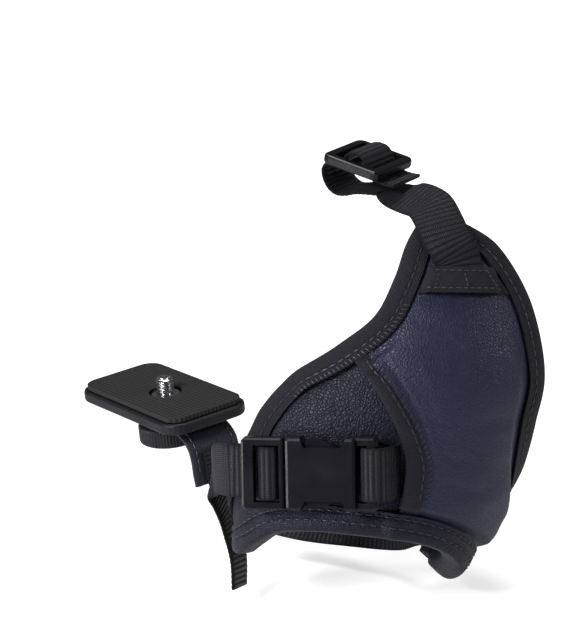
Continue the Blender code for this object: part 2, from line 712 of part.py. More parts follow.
def arm_outline(side):
    """One sprung arm of the plug, with the shoulder that latches in the socket's window."""
    root = SOCKET_FROM - 0.5 * mm
    shoulder = WINDOW_FROM + 0.4 * mm
    points = [(root, 8.5), (shoulder - 0.5 * mm, 8.5), (shoulder, 10.2), (shoulder + 5 * mm, 10.3),
              (shoulder + 8.5 * mm, 8.2), (WINDOW_TO + 1.2 * mm, 4.6), (WINDOW_TO, 3.9),
              (shoulder + 6.5 * mm, 6.0), (shoulder + 2 * mm, 6.9), (root, 5.6)]
    outline = [(x, side * y * mm) for x, y in points]
    return outline[::side]


def make_plug():
    half = BUCKLE_WIDTH / 2
    end = SOCKET_FROM - 0.35 * mm
    start = SOCKET_FROM - PLUG_LENGTH
    middle = BUCKLE_DEPTH / 2
    outer_bar = start + PLUG_BAR
    grip_from = outer_bar + PLUG_GRIP_SLOT
    grip_to = grip_from + PLUG_GRIP_BAR
    plate_part = slab([(start, 1.2 * mm - half), (start + 1.2 * mm, -half), (end, -half), (end, half),
                       (start + 1.2 * mm, half), (start, half - 1.2 * mm)],
                      middle - 0.9 * mm, middle + 2.9 * mm)
    bevelled(plate_part, 0.8 * mm)
    window = block((outer_bar, -half + RAIL, -5 * mm), (end - PLUG_BLOCK, half - RAIL, 10 * mm))
    grip = block((grip_from, -half + 1 * mm, middle - 0.8 * mm), (grip_to, half - 1 * mm,
                                                                 middle + 1.2 * mm))
    low = middle - ARM_THICKNESS / 2
    high = middle + ARM_THICKNESS / 2
    arms = [slab(arm_outline(side), low, high) for side in (1, -1)]
    root = SOCKET_FROM - 0.9 * mm
    tongue = slab([(root, -2.4 * mm), (7 * mm, -1.7 * mm), (8.5 * mm, 0), (7 * mm, 1.7 * mm),
                   (root, 2.4 * mm)], low, high)
    bridge = block((end - PLUG_BLOCK, -8.6 * mm, low), (end + 0.1 * mm, 8.6 * mm, high))
    plate_part.modifiers.new("window", "BOOLEAN").object = window
    plate_part.modifiers["window"].operation = "DIFFERENCE"
    return built("buckle_plug", plate_part, [grip, bridge, tongue, *arms], [], buckle, BLACK_PLASTIC)


def make_slider():
    half = UPPER_WIDTH / 2 + 0.5 * mm
    width = 2 * (half + SLIDER_RAIL)
    body = slab(rounded(SLIDER_LENGTH, width, 2.5 * mm, steps=3), 0, SLIDER_THICKNESS)
    bevelled(body, 0.7 * mm)
    inner = SLIDER_LENGTH / 2 - SLIDER_BAR
    slots = [block((min(a, b), -half, -1 * mm), (max(a, b), half, 5 * mm))
             for a, b in ((SLIDER_BAR / 2, inner), (-SLIDER_BAR / 2, -inner))]
    return built("upper_slider", body, [], slots, slider, BLACK_PLASTIC)


# Base plate and tripod screw

def make_plate_pieces():
    top = -RUBBER - CLEARANCE
    bottom = top - PLATE_THICKNESS
    hole = [(STUD_HOLE * math.cos(a), STUD_HOLE * math.sin(a))
            for a in np.linspace(0, math.tau, 28, endpoint=False)]
    recess = [(RING_RECESS * math.cos(a), RING_RECESS * math.sin(a))
              for a in np.linspace(0, math.tau, 28, endpoint=False)]
    body = slab(rounded(PLATE_LENGTH, PLATE_WIDTH, PLATE_CORNER, PLATE_OFFSET), bottom, top)
    bevelled(body, 0.8 * mm)
    built("base_plate", body, [], [slab(hole, bottom - 1 * mm, top + 1 * mm)], plate, BLACK_PLASTIC)
    grip = slab(rounded(PLATE_LENGTH - 2 * RUBBER_INSET, PLATE_WIDTH - 2 * RUBBER_INSET,
                        PLATE_CORNER - RUBBER_INSET, PLATE_OFFSET), -RUBBER, 0)
    built("base_plate_rubber", grip, [], [slab(recess, -RUBBER - 1 * mm, 1 * mm)], plate,
          BLACK_RUBBER)
    return bottom


def make_tab(plate_bottom):
    """Leather tab that the knob clamps under the plate; its far end hangs down to the webbing."""
    middle = (plate_bottom - CLEARANCE - EYELET_FLANGE - TAB_THICKNESS / 2) / mm
    line = [(-20, middle - 1.4), (-15, middle - 0.4), (-9, middle), (0, middle), (9, middle),
            (16, middle), (22, middle - 1.2), (26.5, middle - 4.4), (28.1, middle - 9),
            (28.5, middle - 14), (29.2, middle - 18)]
    path = smooth_path([free((x, 0, z), (0, 1, 0)) for x, z in line], 36)
    strap = ribbon("tab", path, TAB_WIDTH, TAB_THICKNESS, plate, BLACK_LEATHER)
    cutters.objects.link(strap)
    parts.objects.unlink(strap)
    strap.hide_render = True
    barrel = [((EYELET_BARREL + CLEARANCE) * math.cos(a), (EYELET_BARREL + CLEARANCE) * math.sin(a))
              for a in np.linspace(0, math.tau, 28, endpoint=False)]
    height = middle * mm
    hole = slab(barrel, height - 3 * mm, height + 3 * mm)
    hole.parent = plate
    bpy.context.view_layer.update()
    built("base_tab", strap, [], [hole], plate, BLACK_LEATHER)
    return height


def make_screw(tab_height):
    """Eyelet in the tab, washer, stud, its retaining ring and the knob that turns it."""
    under_tab = tab_height - TAB_THICKNESS / 2 - CLEARANCE
    over_tab = tab_height + TAB_THICKNESS / 2 + CLEARANCE
    bore = STUD_HOLE
    flange = EYELET_FLANGE
    turned("tab_eyelet", [
        (EYELET_RADIUS, under_tab), (EYELET_RADIUS, under_tab - flange), (bore, under_tab - flange),
        (bore, over_tab), (EYELET_BARREL, over_tab), (EYELET_BARREL, under_tab)], plate, STEEL)
    washer_top = under_tab - flange - CLEARANCE
    washer_low = washer_top - WASHER_THICKNESS
    turned("stud_washer", [
        (bore, washer_top), (WASHER_RADIUS, washer_top), (WASHER_RADIUS, washer_low),
        (bore, washer_low)], plate, NYLON)
    knob_top = washer_low - CLEARANCE
    knob_low = knob_top - KNOB_HEIGHT
    lobes = [((KNOB_RADIUS + KNOB_LOBE_DEPTH * math.cos(KNOB_LOBES * a)) * math.cos(a),
              (KNOB_RADIUS + KNOB_LOBE_DEPTH * math.cos(KNOB_LOBES * a)) * math.sin(a))
             for a in np.linspace(0, math.tau, KNOB_LOBES * 4, endpoint=False)]
    hub = [((KNOB_HOLE + CLEARANCE) * math.cos(a), (KNOB_HOLE + CLEARANCE) * math.sin(a))
           for a in np.linspace(0, math.tau, 24, endpoint=False)]
    built("tripod_knob", slab(lobes, knob_low, knob_top), [],
          [slab(hub, knob_low + 1.5 * mm, knob_top + 1 * mm)], plate, BLACK_PLASTIC)
    ring_low = -RUBBER - CLEARANCE + 0.3 * mm
    neck_low = ring_low - 0.2 * mm
    neck_high = ring_low + RING_THICKNESS + 0.2 * mm
    turned("tripod_stud", [
        (0, STUD_REACH), (STUD_RADIUS - 0.6 * mm, STUD_REACH), (STUD_RADIUS, STUD_REACH - 0.6 * mm),
        (STUD_RADIUS, neck_high), (STUD_NECK, neck_high), (STUD_NECK, neck_low),
        (STUD_RADIUS, neck_low), (STUD_RADIUS, knob_top + 0.3 * mm), (KNOB_HOLE, knob_top + 0.3 * mm),
        (KNOB_HOLE, knob_low + 1.85 * mm), (0, knob_low + 1.85 * mm)], plate, STEEL)
    turned("stud_ring", [
        (STUD_NECK + 0.15 * mm, ring_low + RING_THICKNESS), (RING_RADIUS, ring_low + RING_THICKNESS),
        (RING_RADIUS, ring_low), (STUD_NECK + 0.15 * mm, ring_low)], plate, STEEL)


# The model

clear_scene()
parts = collection("hand_grip_strap")
cutters = collection("cutters", hidden=True)

hand_matrix = (Matrix.Translation(HAND_PLACE) @ Matrix.Rotation(math.pi / 2 - HAND_LEAN, 4, "X")
               @ Matrix.Rotation(-HAND_ROLL, 4, "Z"))
hand = frame("hand_frame", hand_matrix)

seat_turn = np.array([float(BUCKLE_TURN)])
seat_along = np.array([STRAP_ALONG])
seat_across, seat_up = (Vector(v[0]).normalized() for v in slopes_at(seat_turn, seat_along))
seat_out = seat_across.cross(seat_up).normalized()
seat_side = seat_out.cross(seat_across)
seat = Vector(form(seat_turn, seat_along, BASE_TOP + BUCKLE_LIFT)[0]) + seat_across * BUCKLE_SHIFT
buckle_matrix = Matrix.Translation(seat) @ Matrix(
    (seat_across, seat_side, seat_out)).transposed().to_4x4()
buckle = frame("buckle_frame", buckle_matrix, hand)

slider_side = SLIDER_OUT.cross(SLIDER_ALONG).normalized()
slider_out = SLIDER_ALONG.cross(slider_side)
slider_matrix = Matrix.Translation(SLIDER_PLACE) @ Matrix(
    (SLIDER_ALONG, slider_side, slider_out)).transposed().to_4x4()
slider = frame("slider_frame", slider_matrix, hand)

plate_matrix = Matrix.Rotation(PLATE_TURN, 4, "Z")
plate = frame("plate_frame", plate_matrix)
bpy.context.view_layer.update()

make_layer("palm_lining", 0, LINING, BLACK_SUEDE)
make_layer("foam_pad", FOAM_HEIGHT, FOAM, GREY_FOAM)
make_layer("base_leather", BASE_HEIGHT, LEATHER, BLACK_LEATHER)
make_overlay()
make_edge_binding()
make_hem_binding()
make_pocket_binding()
make_anchor_band()
make_short_webbing()
make_long_webbing()
make_upper_webbing()
make_lower_webbing()
make_socket()
make_plug()
make_slider()
tab_height = make_tab(make_plate_pieces())
make_screw(tab_height)
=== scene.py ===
# %% [markdown]
# # Camera hand grip strap
# This notebook dresses a grip strap: a padded leather panel, wrist webbing with a side-release
# buckle, upper webbing with a slider, and a base plate with a tripod screw. The solid model comes
# first and stays where it is. Each soft piece is then made again with its puffing, ribs, folds and
# stitches.

# %% Load the solid model
import json
import math

import bpy
import numpy as np
from mathutils import Matrix, Vector

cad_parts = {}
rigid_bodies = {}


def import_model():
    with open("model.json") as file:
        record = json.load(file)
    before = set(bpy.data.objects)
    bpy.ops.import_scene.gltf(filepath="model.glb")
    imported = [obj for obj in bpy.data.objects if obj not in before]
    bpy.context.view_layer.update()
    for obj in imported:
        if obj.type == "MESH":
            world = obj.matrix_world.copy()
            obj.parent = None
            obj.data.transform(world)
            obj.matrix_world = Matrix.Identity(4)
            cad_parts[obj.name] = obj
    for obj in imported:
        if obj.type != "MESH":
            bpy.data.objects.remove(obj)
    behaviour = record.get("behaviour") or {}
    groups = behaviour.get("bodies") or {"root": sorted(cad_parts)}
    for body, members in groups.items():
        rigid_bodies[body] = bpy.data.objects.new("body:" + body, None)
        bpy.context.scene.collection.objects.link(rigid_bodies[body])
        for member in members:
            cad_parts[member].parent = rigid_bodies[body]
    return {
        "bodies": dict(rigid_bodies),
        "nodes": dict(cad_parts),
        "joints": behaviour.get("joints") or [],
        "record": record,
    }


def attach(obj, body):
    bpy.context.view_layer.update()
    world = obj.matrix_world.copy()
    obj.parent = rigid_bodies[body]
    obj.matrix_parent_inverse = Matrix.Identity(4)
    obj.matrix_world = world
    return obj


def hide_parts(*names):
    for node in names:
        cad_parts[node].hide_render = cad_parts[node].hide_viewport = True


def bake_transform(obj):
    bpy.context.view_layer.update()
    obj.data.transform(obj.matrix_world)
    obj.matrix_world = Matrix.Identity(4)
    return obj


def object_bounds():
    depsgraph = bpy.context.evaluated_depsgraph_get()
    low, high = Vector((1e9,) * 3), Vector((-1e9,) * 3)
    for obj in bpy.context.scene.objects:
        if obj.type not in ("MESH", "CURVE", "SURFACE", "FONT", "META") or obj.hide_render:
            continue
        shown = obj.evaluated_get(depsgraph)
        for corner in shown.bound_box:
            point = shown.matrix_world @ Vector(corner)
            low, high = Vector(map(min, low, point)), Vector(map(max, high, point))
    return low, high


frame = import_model()
cad_box = [[float(value) for value in corner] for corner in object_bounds()]
mm = 0.001

# %% [markdown]
# ## The viewpoint
# The picture looks slightly down on the strap and is rolled by a few degrees. A camera that is set
# by its place and the three directions of its own axes keeps both at once, so no turning angles
# have to be guessed one after another. The long lens has its height in pixels for its field.

# %% Viewpoint
CAMERA_PLACE = (44.2 * mm, -750.6 * mm, 266.1 * mm)
CAMERA_RIGHT = Vector((0.9954, -0.0296, -0.0912))
CAMERA_UP = Vector((0.0958, 0.3076, 0.9466))
FOCUS_PIXELS = 2244
PICTURE_HEIGHT = 640

lens = bpy.data.cameras.new("photo_lens")
camera = bpy.data.objects.new("photo_camera", lens)
bpy.context.scene.collection.objects.link(camera)
bpy.context.scene.camera = camera
lens.sensor_fit = "VERTICAL"
lens.sensor_height = 36
lens.lens = FOCUS_PIXELS / PICTURE_HEIGHT * lens.sensor_height
lens.clip_end = 10
camera.matrix_world = Matrix.Translation(CAMERA_PLACE) @ Matrix(
    (CAMERA_RIGHT, CAMERA_UP, CAMERA_RIGHT.cross(CAMERA_UP))).transposed().to_4x4()
print("lens", round(lens.lens, 1), "mm")

# %% [markdown]
# ## Smooth curves through chosen points
# Outlines and strap routes are tables of a few points. A cubic curve that passes through each point
# with the slope between its two neighbours gives a soft line without the kinks of straight runs.

# %% Curve helpers
def through(knots, values, at):
    """Cubic curve: value = Hermite mix of the two nearest rows and their neighbour slopes."""
    knots, values, at = (np.asarray(v, float) for v in (knots, values, at))
    ends = np.arange(len(knots))
    before, after = np.maximum(ends - 1, 0), np.minimum(ends + 1, len(knots) - 1)
    slopes = (values[after] - values[before]) / (knots[after] - knots[before])[:, None]
    left = np.clip(np.searchsorted(knots, at, side="right") - 1, 0, len(knots) - 2)
    span = (knots[left + 1] - knots[left])[..., None]
    share = (at - knots[left])[..., None] / span
    rest = 1 - share
    return (rest**2 * (1 + 2 * share) * values[left] + share**2 * (3 - 2 * share) * values[left + 1]
            + span * share * rest * (rest * slopes[left] - share * slopes[left + 1]))


def smooth_path(points, count):
    """`count` evenly spread points: parameter = length along the chosen points."""
    points = np.asarray(points, float)
    way = np.concatenate([[0], np.cumsum(np.linalg.norm(np.diff(points[:, :3], axis=0), axis=1))])
    return through(way, points, np.linspace(0, way[-1], count))


def unit(vectors):
    return vectors / np.linalg.norm(vectors, axis=-1, keepdims=True)


def ramp(x):
    """0 below 0, 1 above 1, and 3x2 - 2x3 between."""
    x = np.clip(x, 0, 1)
    return x * x * (3 - 2 * x)


def ripple(u, v, size, seed):
    """Soft uneven ground from -1 to 1: the mean of five sine waves in turned directions."""
    total = 0
    for step in range(5):
        angle = seed + 2.4 * step
        reach = size * (0.7 + 0.25 * step)
        total = total + np.sin((u * math.cos(angle) + v * math.sin(angle)) * math.tau / reach
                               + 1.7 * seed + step * step)
    return total / 5


# %% [markdown]
# ## The shape inside the strap
# The strap keeps the bent shape that it has in use. An ellipse at each height, whose centre and half
# widths change smoothly, is the form inside it. A point is named by its turn round the form in
# degrees, its distance along it and its height above it, so every layer of the pad is the same
# surface at another height.

# %% The form and its surface
PAD_FRAME = Matrix.Translation((54 * mm, -100 * mm, 3 * mm)) @ Matrix.Rotation(
    math.radians(72), 4, "X") @ Matrix.Rotation(math.radians(-5.5), 4, "Z")
SECTIONS = np.array([
    (-42, 3.0, 24.0, 0, 17.5), (-32, 4.0, 25.5, 0, 19.0), (-24, 6.5, 30.5, 0, 20.5),
    (-16, 8.5, 33.3, 0, 22.0), (-6, 10.8, 36.8, 0, 23.5), (6, 13.3, 40.3, 0, 25.0),
    (18, 17.0, 41.8, 0, 26.5), (30, 22.2, 40.2, 0, 27.0), (42, 24.8, 36.8, 0, 26.5),
    (54, 26.0, 33.2, -1, 25.0), (66, 27.6, 29.0, -3, 22.5), (82, 30.4, 25.0, -8, 19.0)]) * mm


def skin(turn, along):
    """Ellipse point: centre + (half width * sin turn, along, half depth * cos turn)."""
    across, width, out, depth = np.moveaxis(through(SECTIONS[:, 0], SECTIONS[:, 1:], along), -1, 0)
    angle = np.radians(turn)
    return np.stack([across + width * np.sin(angle), along, out + depth * np.cos(angle)], -1)


def slopes_at(turn, along):
    """Central differences of the surface: per degree of turn and per metre along."""
    step, reach = 0.05, 0.1 * mm
    by_turn = (skin(turn + step, along) - skin(turn - step, along)) / (2 * step)
    by_along = (skin(turn, along + reach) - skin(turn, along - reach)) / (2 * reach)
    return by_turn, by_along


def outward(turn, along):
    """Unit normals of the surface: the cross product of its two slopes."""
    return unit(np.cross(*slopes_at(turn, along)))


def form(turn, along, height):
    """Surface point plus height times the outward normal."""
    turn, along, height = np.broadcast_arrays(*(np.asarray(v, float) for v in (turn, along, height)))
    return skin(turn, along) + height[..., None] * outward(turn, along)


# %% [markdown]
# ## The pad's outline
# The pad is a teardrop: narrow at the top, wide at the hem. Its thumb side, its heel side,
# the wrist hem and the overlay's free edge are tables of turn and distance along. A point of a panel
# is a mix of its left and right edge at the same share of the way up.

# %% Outline tables and layer heights
THUMB_EDGE = np.array([
    (0.00, -104, -22), (0.12, -103, -10), (0.24, -82, 0), (0.34, -62, 10.5), (0.44, -56, 19.5),
    (0.54, -49, 28.5), (0.64, -32, 38), (0.74, -17, 47.5), (0.84, -10.5, 58.5), (0.93, -7.5, 68),
    (1.00, -2, 75.5)])
HEEL_EDGE = np.array([
    (0.00, 128, -25.5), (0.12, 132, -18.5), (0.22, 118, -9), (0.32, 97, -1), (0.42, 80, 8),
    (0.52, 70, 19), (0.62, 66, 31), (0.72, 63, 43), (0.82, 57.5, 55), (0.93, 40.2, 68.2),
    (1.00, 14, 75.5)])
WRIST_HEM = np.array([
    (0.00, -22), (0.10, -22.5), (0.18, -19.5), (0.26, -15), (0.35, -14), (0.45, -15),
    (0.56, -16.5), (0.65, -19.5), (0.75, -24), (0.82, -26.5), (0.90, -27.8), (1.00, -25.5)])
POCKET_EDGE = np.array([
    (0.00, 15, -16), (0.08, 14.5, -9.5), (0.20, 14, 0), (0.30, 11.5, 8), (0.40, 3, 18),
    (0.50, -11, 28.5), (0.60, -24, 37), (0.66, -25, 42), (0.74, -17, 47.5), (0.84, -10.5, 58.5),
    (0.93, -7.5, 68), (1.00, -2, 75.5)])
OVERLAY_LEVEL = np.array([
    (0, 1), (0.25, 1), (0.36, 0.85), (0.45, 0.72), (0.58, 0.7), (0.66, 0.3), (0.72, 0), (1, 0)])

GAP = 0.35 * mm
LINING, FOAM, LEATHER, TAPE, WEBBING = 0.8 * mm, 2.5 * mm, 1.0 * mm, 0.6 * mm, 1.2 * mm
FOAM_HEIGHT = LINING + GAP
BASE_HEIGHT = FOAM_HEIGHT + FOAM + GAP
BASE_TOP = BASE_HEIGHT + LEATHER
TUNNEL_WEBBING = BASE_TOP + GAP + WEBBING / 2 + 0.25 * mm
OVERLAY_LOW = BASE_TOP + GAP
OVERLAY_HIGH = TUNNEL_WEBBING + WEBBING / 2 + TAPE + 2 * GAP + 0.3 * mm
OVERLAY_TOP = OVERLAY_LOW + LEATHER
TAPE_ARM = 5.5 * mm


def stations(table, at):
    """Turn and along of an outline at shares of the way."""
    turn, along = np.moveaxis(through(table[:, 0], table[:, 1:], at), -1, 0)
    return turn, along * mm


def hem_along(share):
    return through(WRIST_HEM[:, 0], WRIST_HEM[:, 1:], share)[..., 0] * mm


def hem_share(turn):
    return (turn - THUMB_EDGE[0, 1]) / (HEEL_EDGE[0, 1] - THUMB_EDGE[0, 1])


def panel(left_edge, share, way):
    """Left edge + way * (right edge - left edge), with its first row pulled onto the wrist hem."""
    left_turn, left_along = stations(left_edge, share)
    right_turn, right_along = stations(HEEL_EDGE, share)
    turn = left_turn + (right_turn - left_turn) * way
    along = left_along + (right_along - left_along) * way
    first_turn = left_edge[0, 1] + (HEEL_EDGE[0, 1] - left_edge[0, 1]) * way
    first_along = (left_edge[0, 2] + (HEEL_EDGE[0, 2] - left_edge[0, 2]) * way) * mm
    return turn, along + (hem_along(hem_share(first_turn)) - first_along) * (1 - share)**3


def distance(edge, turn, along):
    """Shortest way from each point to a line on the base leather."""
    line = form(*stations(edge, np.linspace(0, 1, 160)), BASE_TOP)
    points = form(turn, along, BASE_TOP)
    flat = points.reshape(-1, 3)
    best = np.full(len(flat), np.inf)
    for corner in line:
        best = np.minimum(best, np.linalg.norm(flat - corner, axis=1))
    return best.reshape(points.shape[:-1])


print("pad thickness", round((BASE_TOP + LEATHER) / mm, 2), "mm")

# %% [markdown]
# ## From a grid of points to a closed wall
# Leather, tape and webbing are all thin walls. One grid holds the outer face and a second the inner
# face. Joining their four borders closes the wall, so it has a real edge that catches the light. The
# unwrapped map is in millimetres, measured along the grid, so a weave has its true size.

# %% Mesh helpers
def quads(first, second, third, fourth):
    return np.stack([first, second, third, fourth], -1).reshape(-1, 4)


def measured(points):
    """Millimetres across and along the grid, from its middle column."""
    across = np.linalg.norm(np.diff(points, axis=1), axis=2)
    across = np.concatenate([np.zeros((len(points), 1)), np.cumsum(across, axis=1)], 1)
    across -= across[:, points.shape[1] // 2, None]
    middle = points[:, points.shape[1] // 2]
    along = np.concatenate([[0], np.cumsum(np.linalg.norm(np.diff(middle, axis=0), axis=1))])
    return np.stack([across, np.broadcast_to(along[:, None], across.shape)], -1) / mm


def mesh_of(name, vertices, faces, maps=None, values=None, place=PAD_FRAME, sharp=45):
    """One object from arrays: corners, faces, map coordinates and a value for each corner."""
    mesh = bpy.data.meshes.new(name)
    sizes = [faces] if isinstance(faces, np.ndarray) else faces
    counts = np.concatenate([np.full(len(f), f.shape[1]) for f in sizes])
    loops = np.concatenate([f.reshape(-1) for f in sizes])
    mesh.vertices.add(len(vertices))
    mesh.vertices.foreach_set("co", np.asarray(vertices, np.float32).reshape(-1))
    mesh.loops.add(len(loops))
    mesh.loops.foreach_set("vertex_index", loops.astype(np.int32))
    mesh.polygons.add(len(counts))
    starts = np.concatenate([[0], np.cumsum(counts)[:-1]]).astype(np.int32)
    mesh.polygons.foreach_set("loop_start", starts)
    mesh.update(calc_edges=True)
    if maps is not None:
        layer = mesh.uv_layers.new(name="UVMap")
        layer.data.foreach_set("uv", maps[loops].astype(np.float32).reshape(-1))
    if values is not None:
        attribute = mesh.attributes.new("relief", "FLOAT", "POINT")
        attribute.data.foreach_set("value", np.asarray(values, np.float32).reshape(-1))
    mesh.validate()
    mesh.shade_smooth()
    mesh.set_sharp_from_angle(angle=math.radians(sharp))
    mesh.transform(place)
    thing = bpy.data.objects.new(name, mesh)
    bpy.context.scene.collection.objects.link(thing)
    return thing


def wall(name, outer, inner, relief=None, place=PAD_FRAME, sharp=45):
    """Closed wall: outer grid, inner grid turned round, and four strips between their borders."""
    rows, columns = outer.shape[:2]
    o = np.arange(rows * columns).reshape(rows, columns)
    i = o + rows * columns
    faces = np.concatenate([
        quads(o[:-1, :-1], o[:-1, 1:], o[1:, 1:], o[1:, :-1]),
        quads(i[:-1, :-1], i[1:, :-1], i[1:, 1:], i[:-1, 1:]),
        quads(o[0, 1:], o[0, :-1], i[0, :-1], i[0, 1:]),
        quads(o[-1, :-1], o[-1, 1:], i[-1, 1:], i[-1, :-1]),
        quads(o[1:, -1], o[:-1, -1], i[:-1, -1], i[1:, -1]),
        quads(o[:-1, 0], o[1:, 0], i[1:, 0], i[:-1, 0])])
    corners = np.concatenate([outer.reshape(-1, 3), inner.reshape(-1, 3)])
    spread = measured(outer).reshape(-1, 2)
    values = None if relief is None else np.tile(np.broadcast_to(relief, (rows, columns)).reshape(-1), 2)
    return mesh_of(name, corners, faces, np.tile(spread, (2, 1)), values, place, sharp)


def thick(points, thickness):
    """Two grids on both sides of a middle surface: point +- half the thickness * its normal."""
    by_row = np.gradient(points, axis=0)
    by_column = np.gradient(points, axis=1)
    normal = unit(np.cross(by_column, by_row))
    half = np.broadcast_to(thickness, points.shape[:2])[..., None] / 2
    return points + half * normal, points - half * normal


def spun(name, profile, place, relief, steps, sharp=35):
    """Turned piece: each (radius, height) carried round the axis; relief is added to the radius."""
    profile = np.asarray(profile, float)
    angle = np.arange(steps) / steps * math.tau
    radius = profile[:, 0, None] + relief
    points = np.stack([radius * np.cos(angle), radius * np.sin(angle),
                       profile[:, 1, None] + 0 * angle], -1)
    index = np.arange(points.shape[0] * steps).reshape(-1, steps)
    nxt = np.roll(index, -1, axis=1)
    sides = quads(index[:-1], index[1:], nxt[1:], nxt[:-1])
    caps = [index[:1], index[-1:, ::-1]]
    spread = np.stack([np.broadcast_to(angle * profile[:, 0].max(), radius.shape),
                       np.broadcast_to(profile[:, 1, None], radius.shape)], -1) / mm
    return mesh_of(name, points.reshape(-1, 3), [sides, *caps], spread.reshape(-1, 2), None, place, sharp)


# %% [markdown]
# ## Stitches
# A sewn line is a row of short raised threads whose ends go down into the leather. Each is a tiny
# six-sided spindle. All of a line's spindles are worked out at once: five rings along each thread,
# each ring's radius and lift from the same half wave.

# %% Stitch rows
def stitch_row(name, line, normal, pitch=2.9 * mm, length=2.2 * mm, width=0.44 * mm, lift=0.12 * mm,
               crosswise=False):
    """Spindle: centre = line + along * s + normal * lift * cos(s), radius = width / 2 * cos(s)."""
    steps = np.linalg.norm(np.diff(line, axis=0), axis=1)
    way = np.concatenate([[0], np.cumsum(steps)])
    at = np.arange(pitch, way[-1] - pitch / 2, pitch)
    centre = np.stack([np.interp(at, way, line[:, k]) for k in range(3)], -1)
    up = unit(np.stack([np.interp(at, way, normal[:, k]) for k in range(3)], -1))
    ahead = np.stack([np.interp(at + 0.5 * mm, way, line[:, k]) for k in range(3)], -1)
    along = unit(ahead - np.stack([np.interp(at - 0.5 * mm, way, line[:, k]) for k in range(3)], -1))
    side = np.cross(along, up)
    if crosswise:
        along, side = unit(side + 0.35 * along), -along
    wave = np.linspace(-1, 1, 5)
    arch = np.cos(wave * 1.35)
    spin = np.arange(6) / 6 * math.tau
    ring = (side[:, None, None] * np.cos(spin)[:, None] + up[:, None, None] * np.sin(spin)[:, None])
    points = (centre[:, None, None] + along[:, None, None] * (wave * length / 2)[:, None, None]
              + up[:, None, None] * ((arch - 0.35) * lift * 1.5)[:, None, None]
              + ring * (width / 2 * arch**0.6)[:, None, None])
    index = np.arange(points[..., 0].size).reshape(points.shape[:3])
    nxt = np.roll(index, -1, axis=2)
    sides = quads(index[:, :-1], nxt[:, :-1], nxt[:, 1:], index[:, 1:])
    caps = [index[:, 0, ::-1], index[:, -1]]
    piece = mesh_of(name, points.reshape(-1, 3), [sides, *caps])
    print(name, len(at), "stitches")
    return piece


# %% [markdown]
# ## Materials
# Nearly everything on this strap is black or dark blue, so the finishes differ in how they take the
# light: pebbled leather with a soft shine, dull woven tape, ribbed webbing, smooth moulded plastic,
# bright steel. Each is a shader with a fine relief from the surface's own coordinates.

# %% Material helpers
class Finish:
    """A material with its shader, and short calls that add and join nodes."""

    def __init__(self, name, colour, roughness, metallic=0.0):
        self.material = bpy.data.materials.new(name)
        self.material.use_nodes = True
        self.nodes = self.material.node_tree.nodes
        self.links = self.material.node_tree.links
        self.shader = self.nodes["Principled BSDF"]
        self.set(self.shader, "Base Color", (*colour, 1))
        self.set(self.shader, "Roughness", roughness)
        self.set(self.shader, "Metallic", metallic)
        self.where = self.nodes.new("ShaderNodeTexCoord")

    def set(self, node, socket, value):
        node.inputs[socket].default_value = value

    def add(self, kind, **inputs):
        """A node of that kind; each input is a number, a colour or another node's output."""
        node = self.nodes.new(kind)
        for socket, value in inputs.items():
            socket = socket.replace("_", " ")
            if isinstance(value, bpy.types.NodeSocket):
                self.links.new(value, node.inputs[socket])
            else:
                self.set(node, socket, value)
        return node

    def maths(self, operation, first, second=0.0):
        node = self.nodes.new("ShaderNodeMath")
        node.operation = operation
        for socket, value in zip(node.inputs, (first, second)):
            if isinstance(value, bpy.types.NodeSocket):
                self.links.new(value, socket)
            else:
                socket.default_value = value
        return node.outputs[0]

    def spread(self, value, low, high, to_low, to_high):
        """Carries a value from one range to another."""
        node = self.add("ShaderNodeMapRange", Value=value)
        for socket, number in zip(("From Min", "From Max", "To Min", "To Max"),
                                  (low, high, to_low, to_high)):
            self.set(node, socket, number)
        return node.outputs[0]

    def mixed(self, share, first, second):
        node = self.nodes.new("ShaderNodeMix")
        node.data_type = "RGBA"
        self.links.new(share, node.inputs[0])
        node.inputs[6].default_value = (*first, 1)
        node.inputs[7].default_value = (*second, 1)
        return node.outputs[2]

    def noise(self, scale, detail=2.0):
        """Uneven spots that stay fixed to the piece."""
        return self.add("ShaderNodeTexNoise", Vector=self.where.outputs["Object"], Scale=scale,
                        Detail=detail).outputs["Fac"]

    def relief(self, height, depth):
        bump = self.add("ShaderNodeBump", Height=height, Strength=1.0, Distance=depth)
        self.join(bump.outputs[0], "Normal")

    def join(self, output, socket):
        self.links.new(output, self.shader.inputs[socket])

    def take(self, **sockets):
        """Numbers and colours for the shader itself."""
        for socket, value in sockets.items():
            self.set(self.shader, socket.replace("_", " "), value)
        return self.material

    def grid(self, size):
        """The piece's own map in millimetres, divided by a size."""
        node = self.add("ShaderNodeMapping", Vector=self.where.outputs["UV"])
        node.inputs["Scale"].default_value = (1 / size, 1 / size, 1)
        return node.outputs[0]
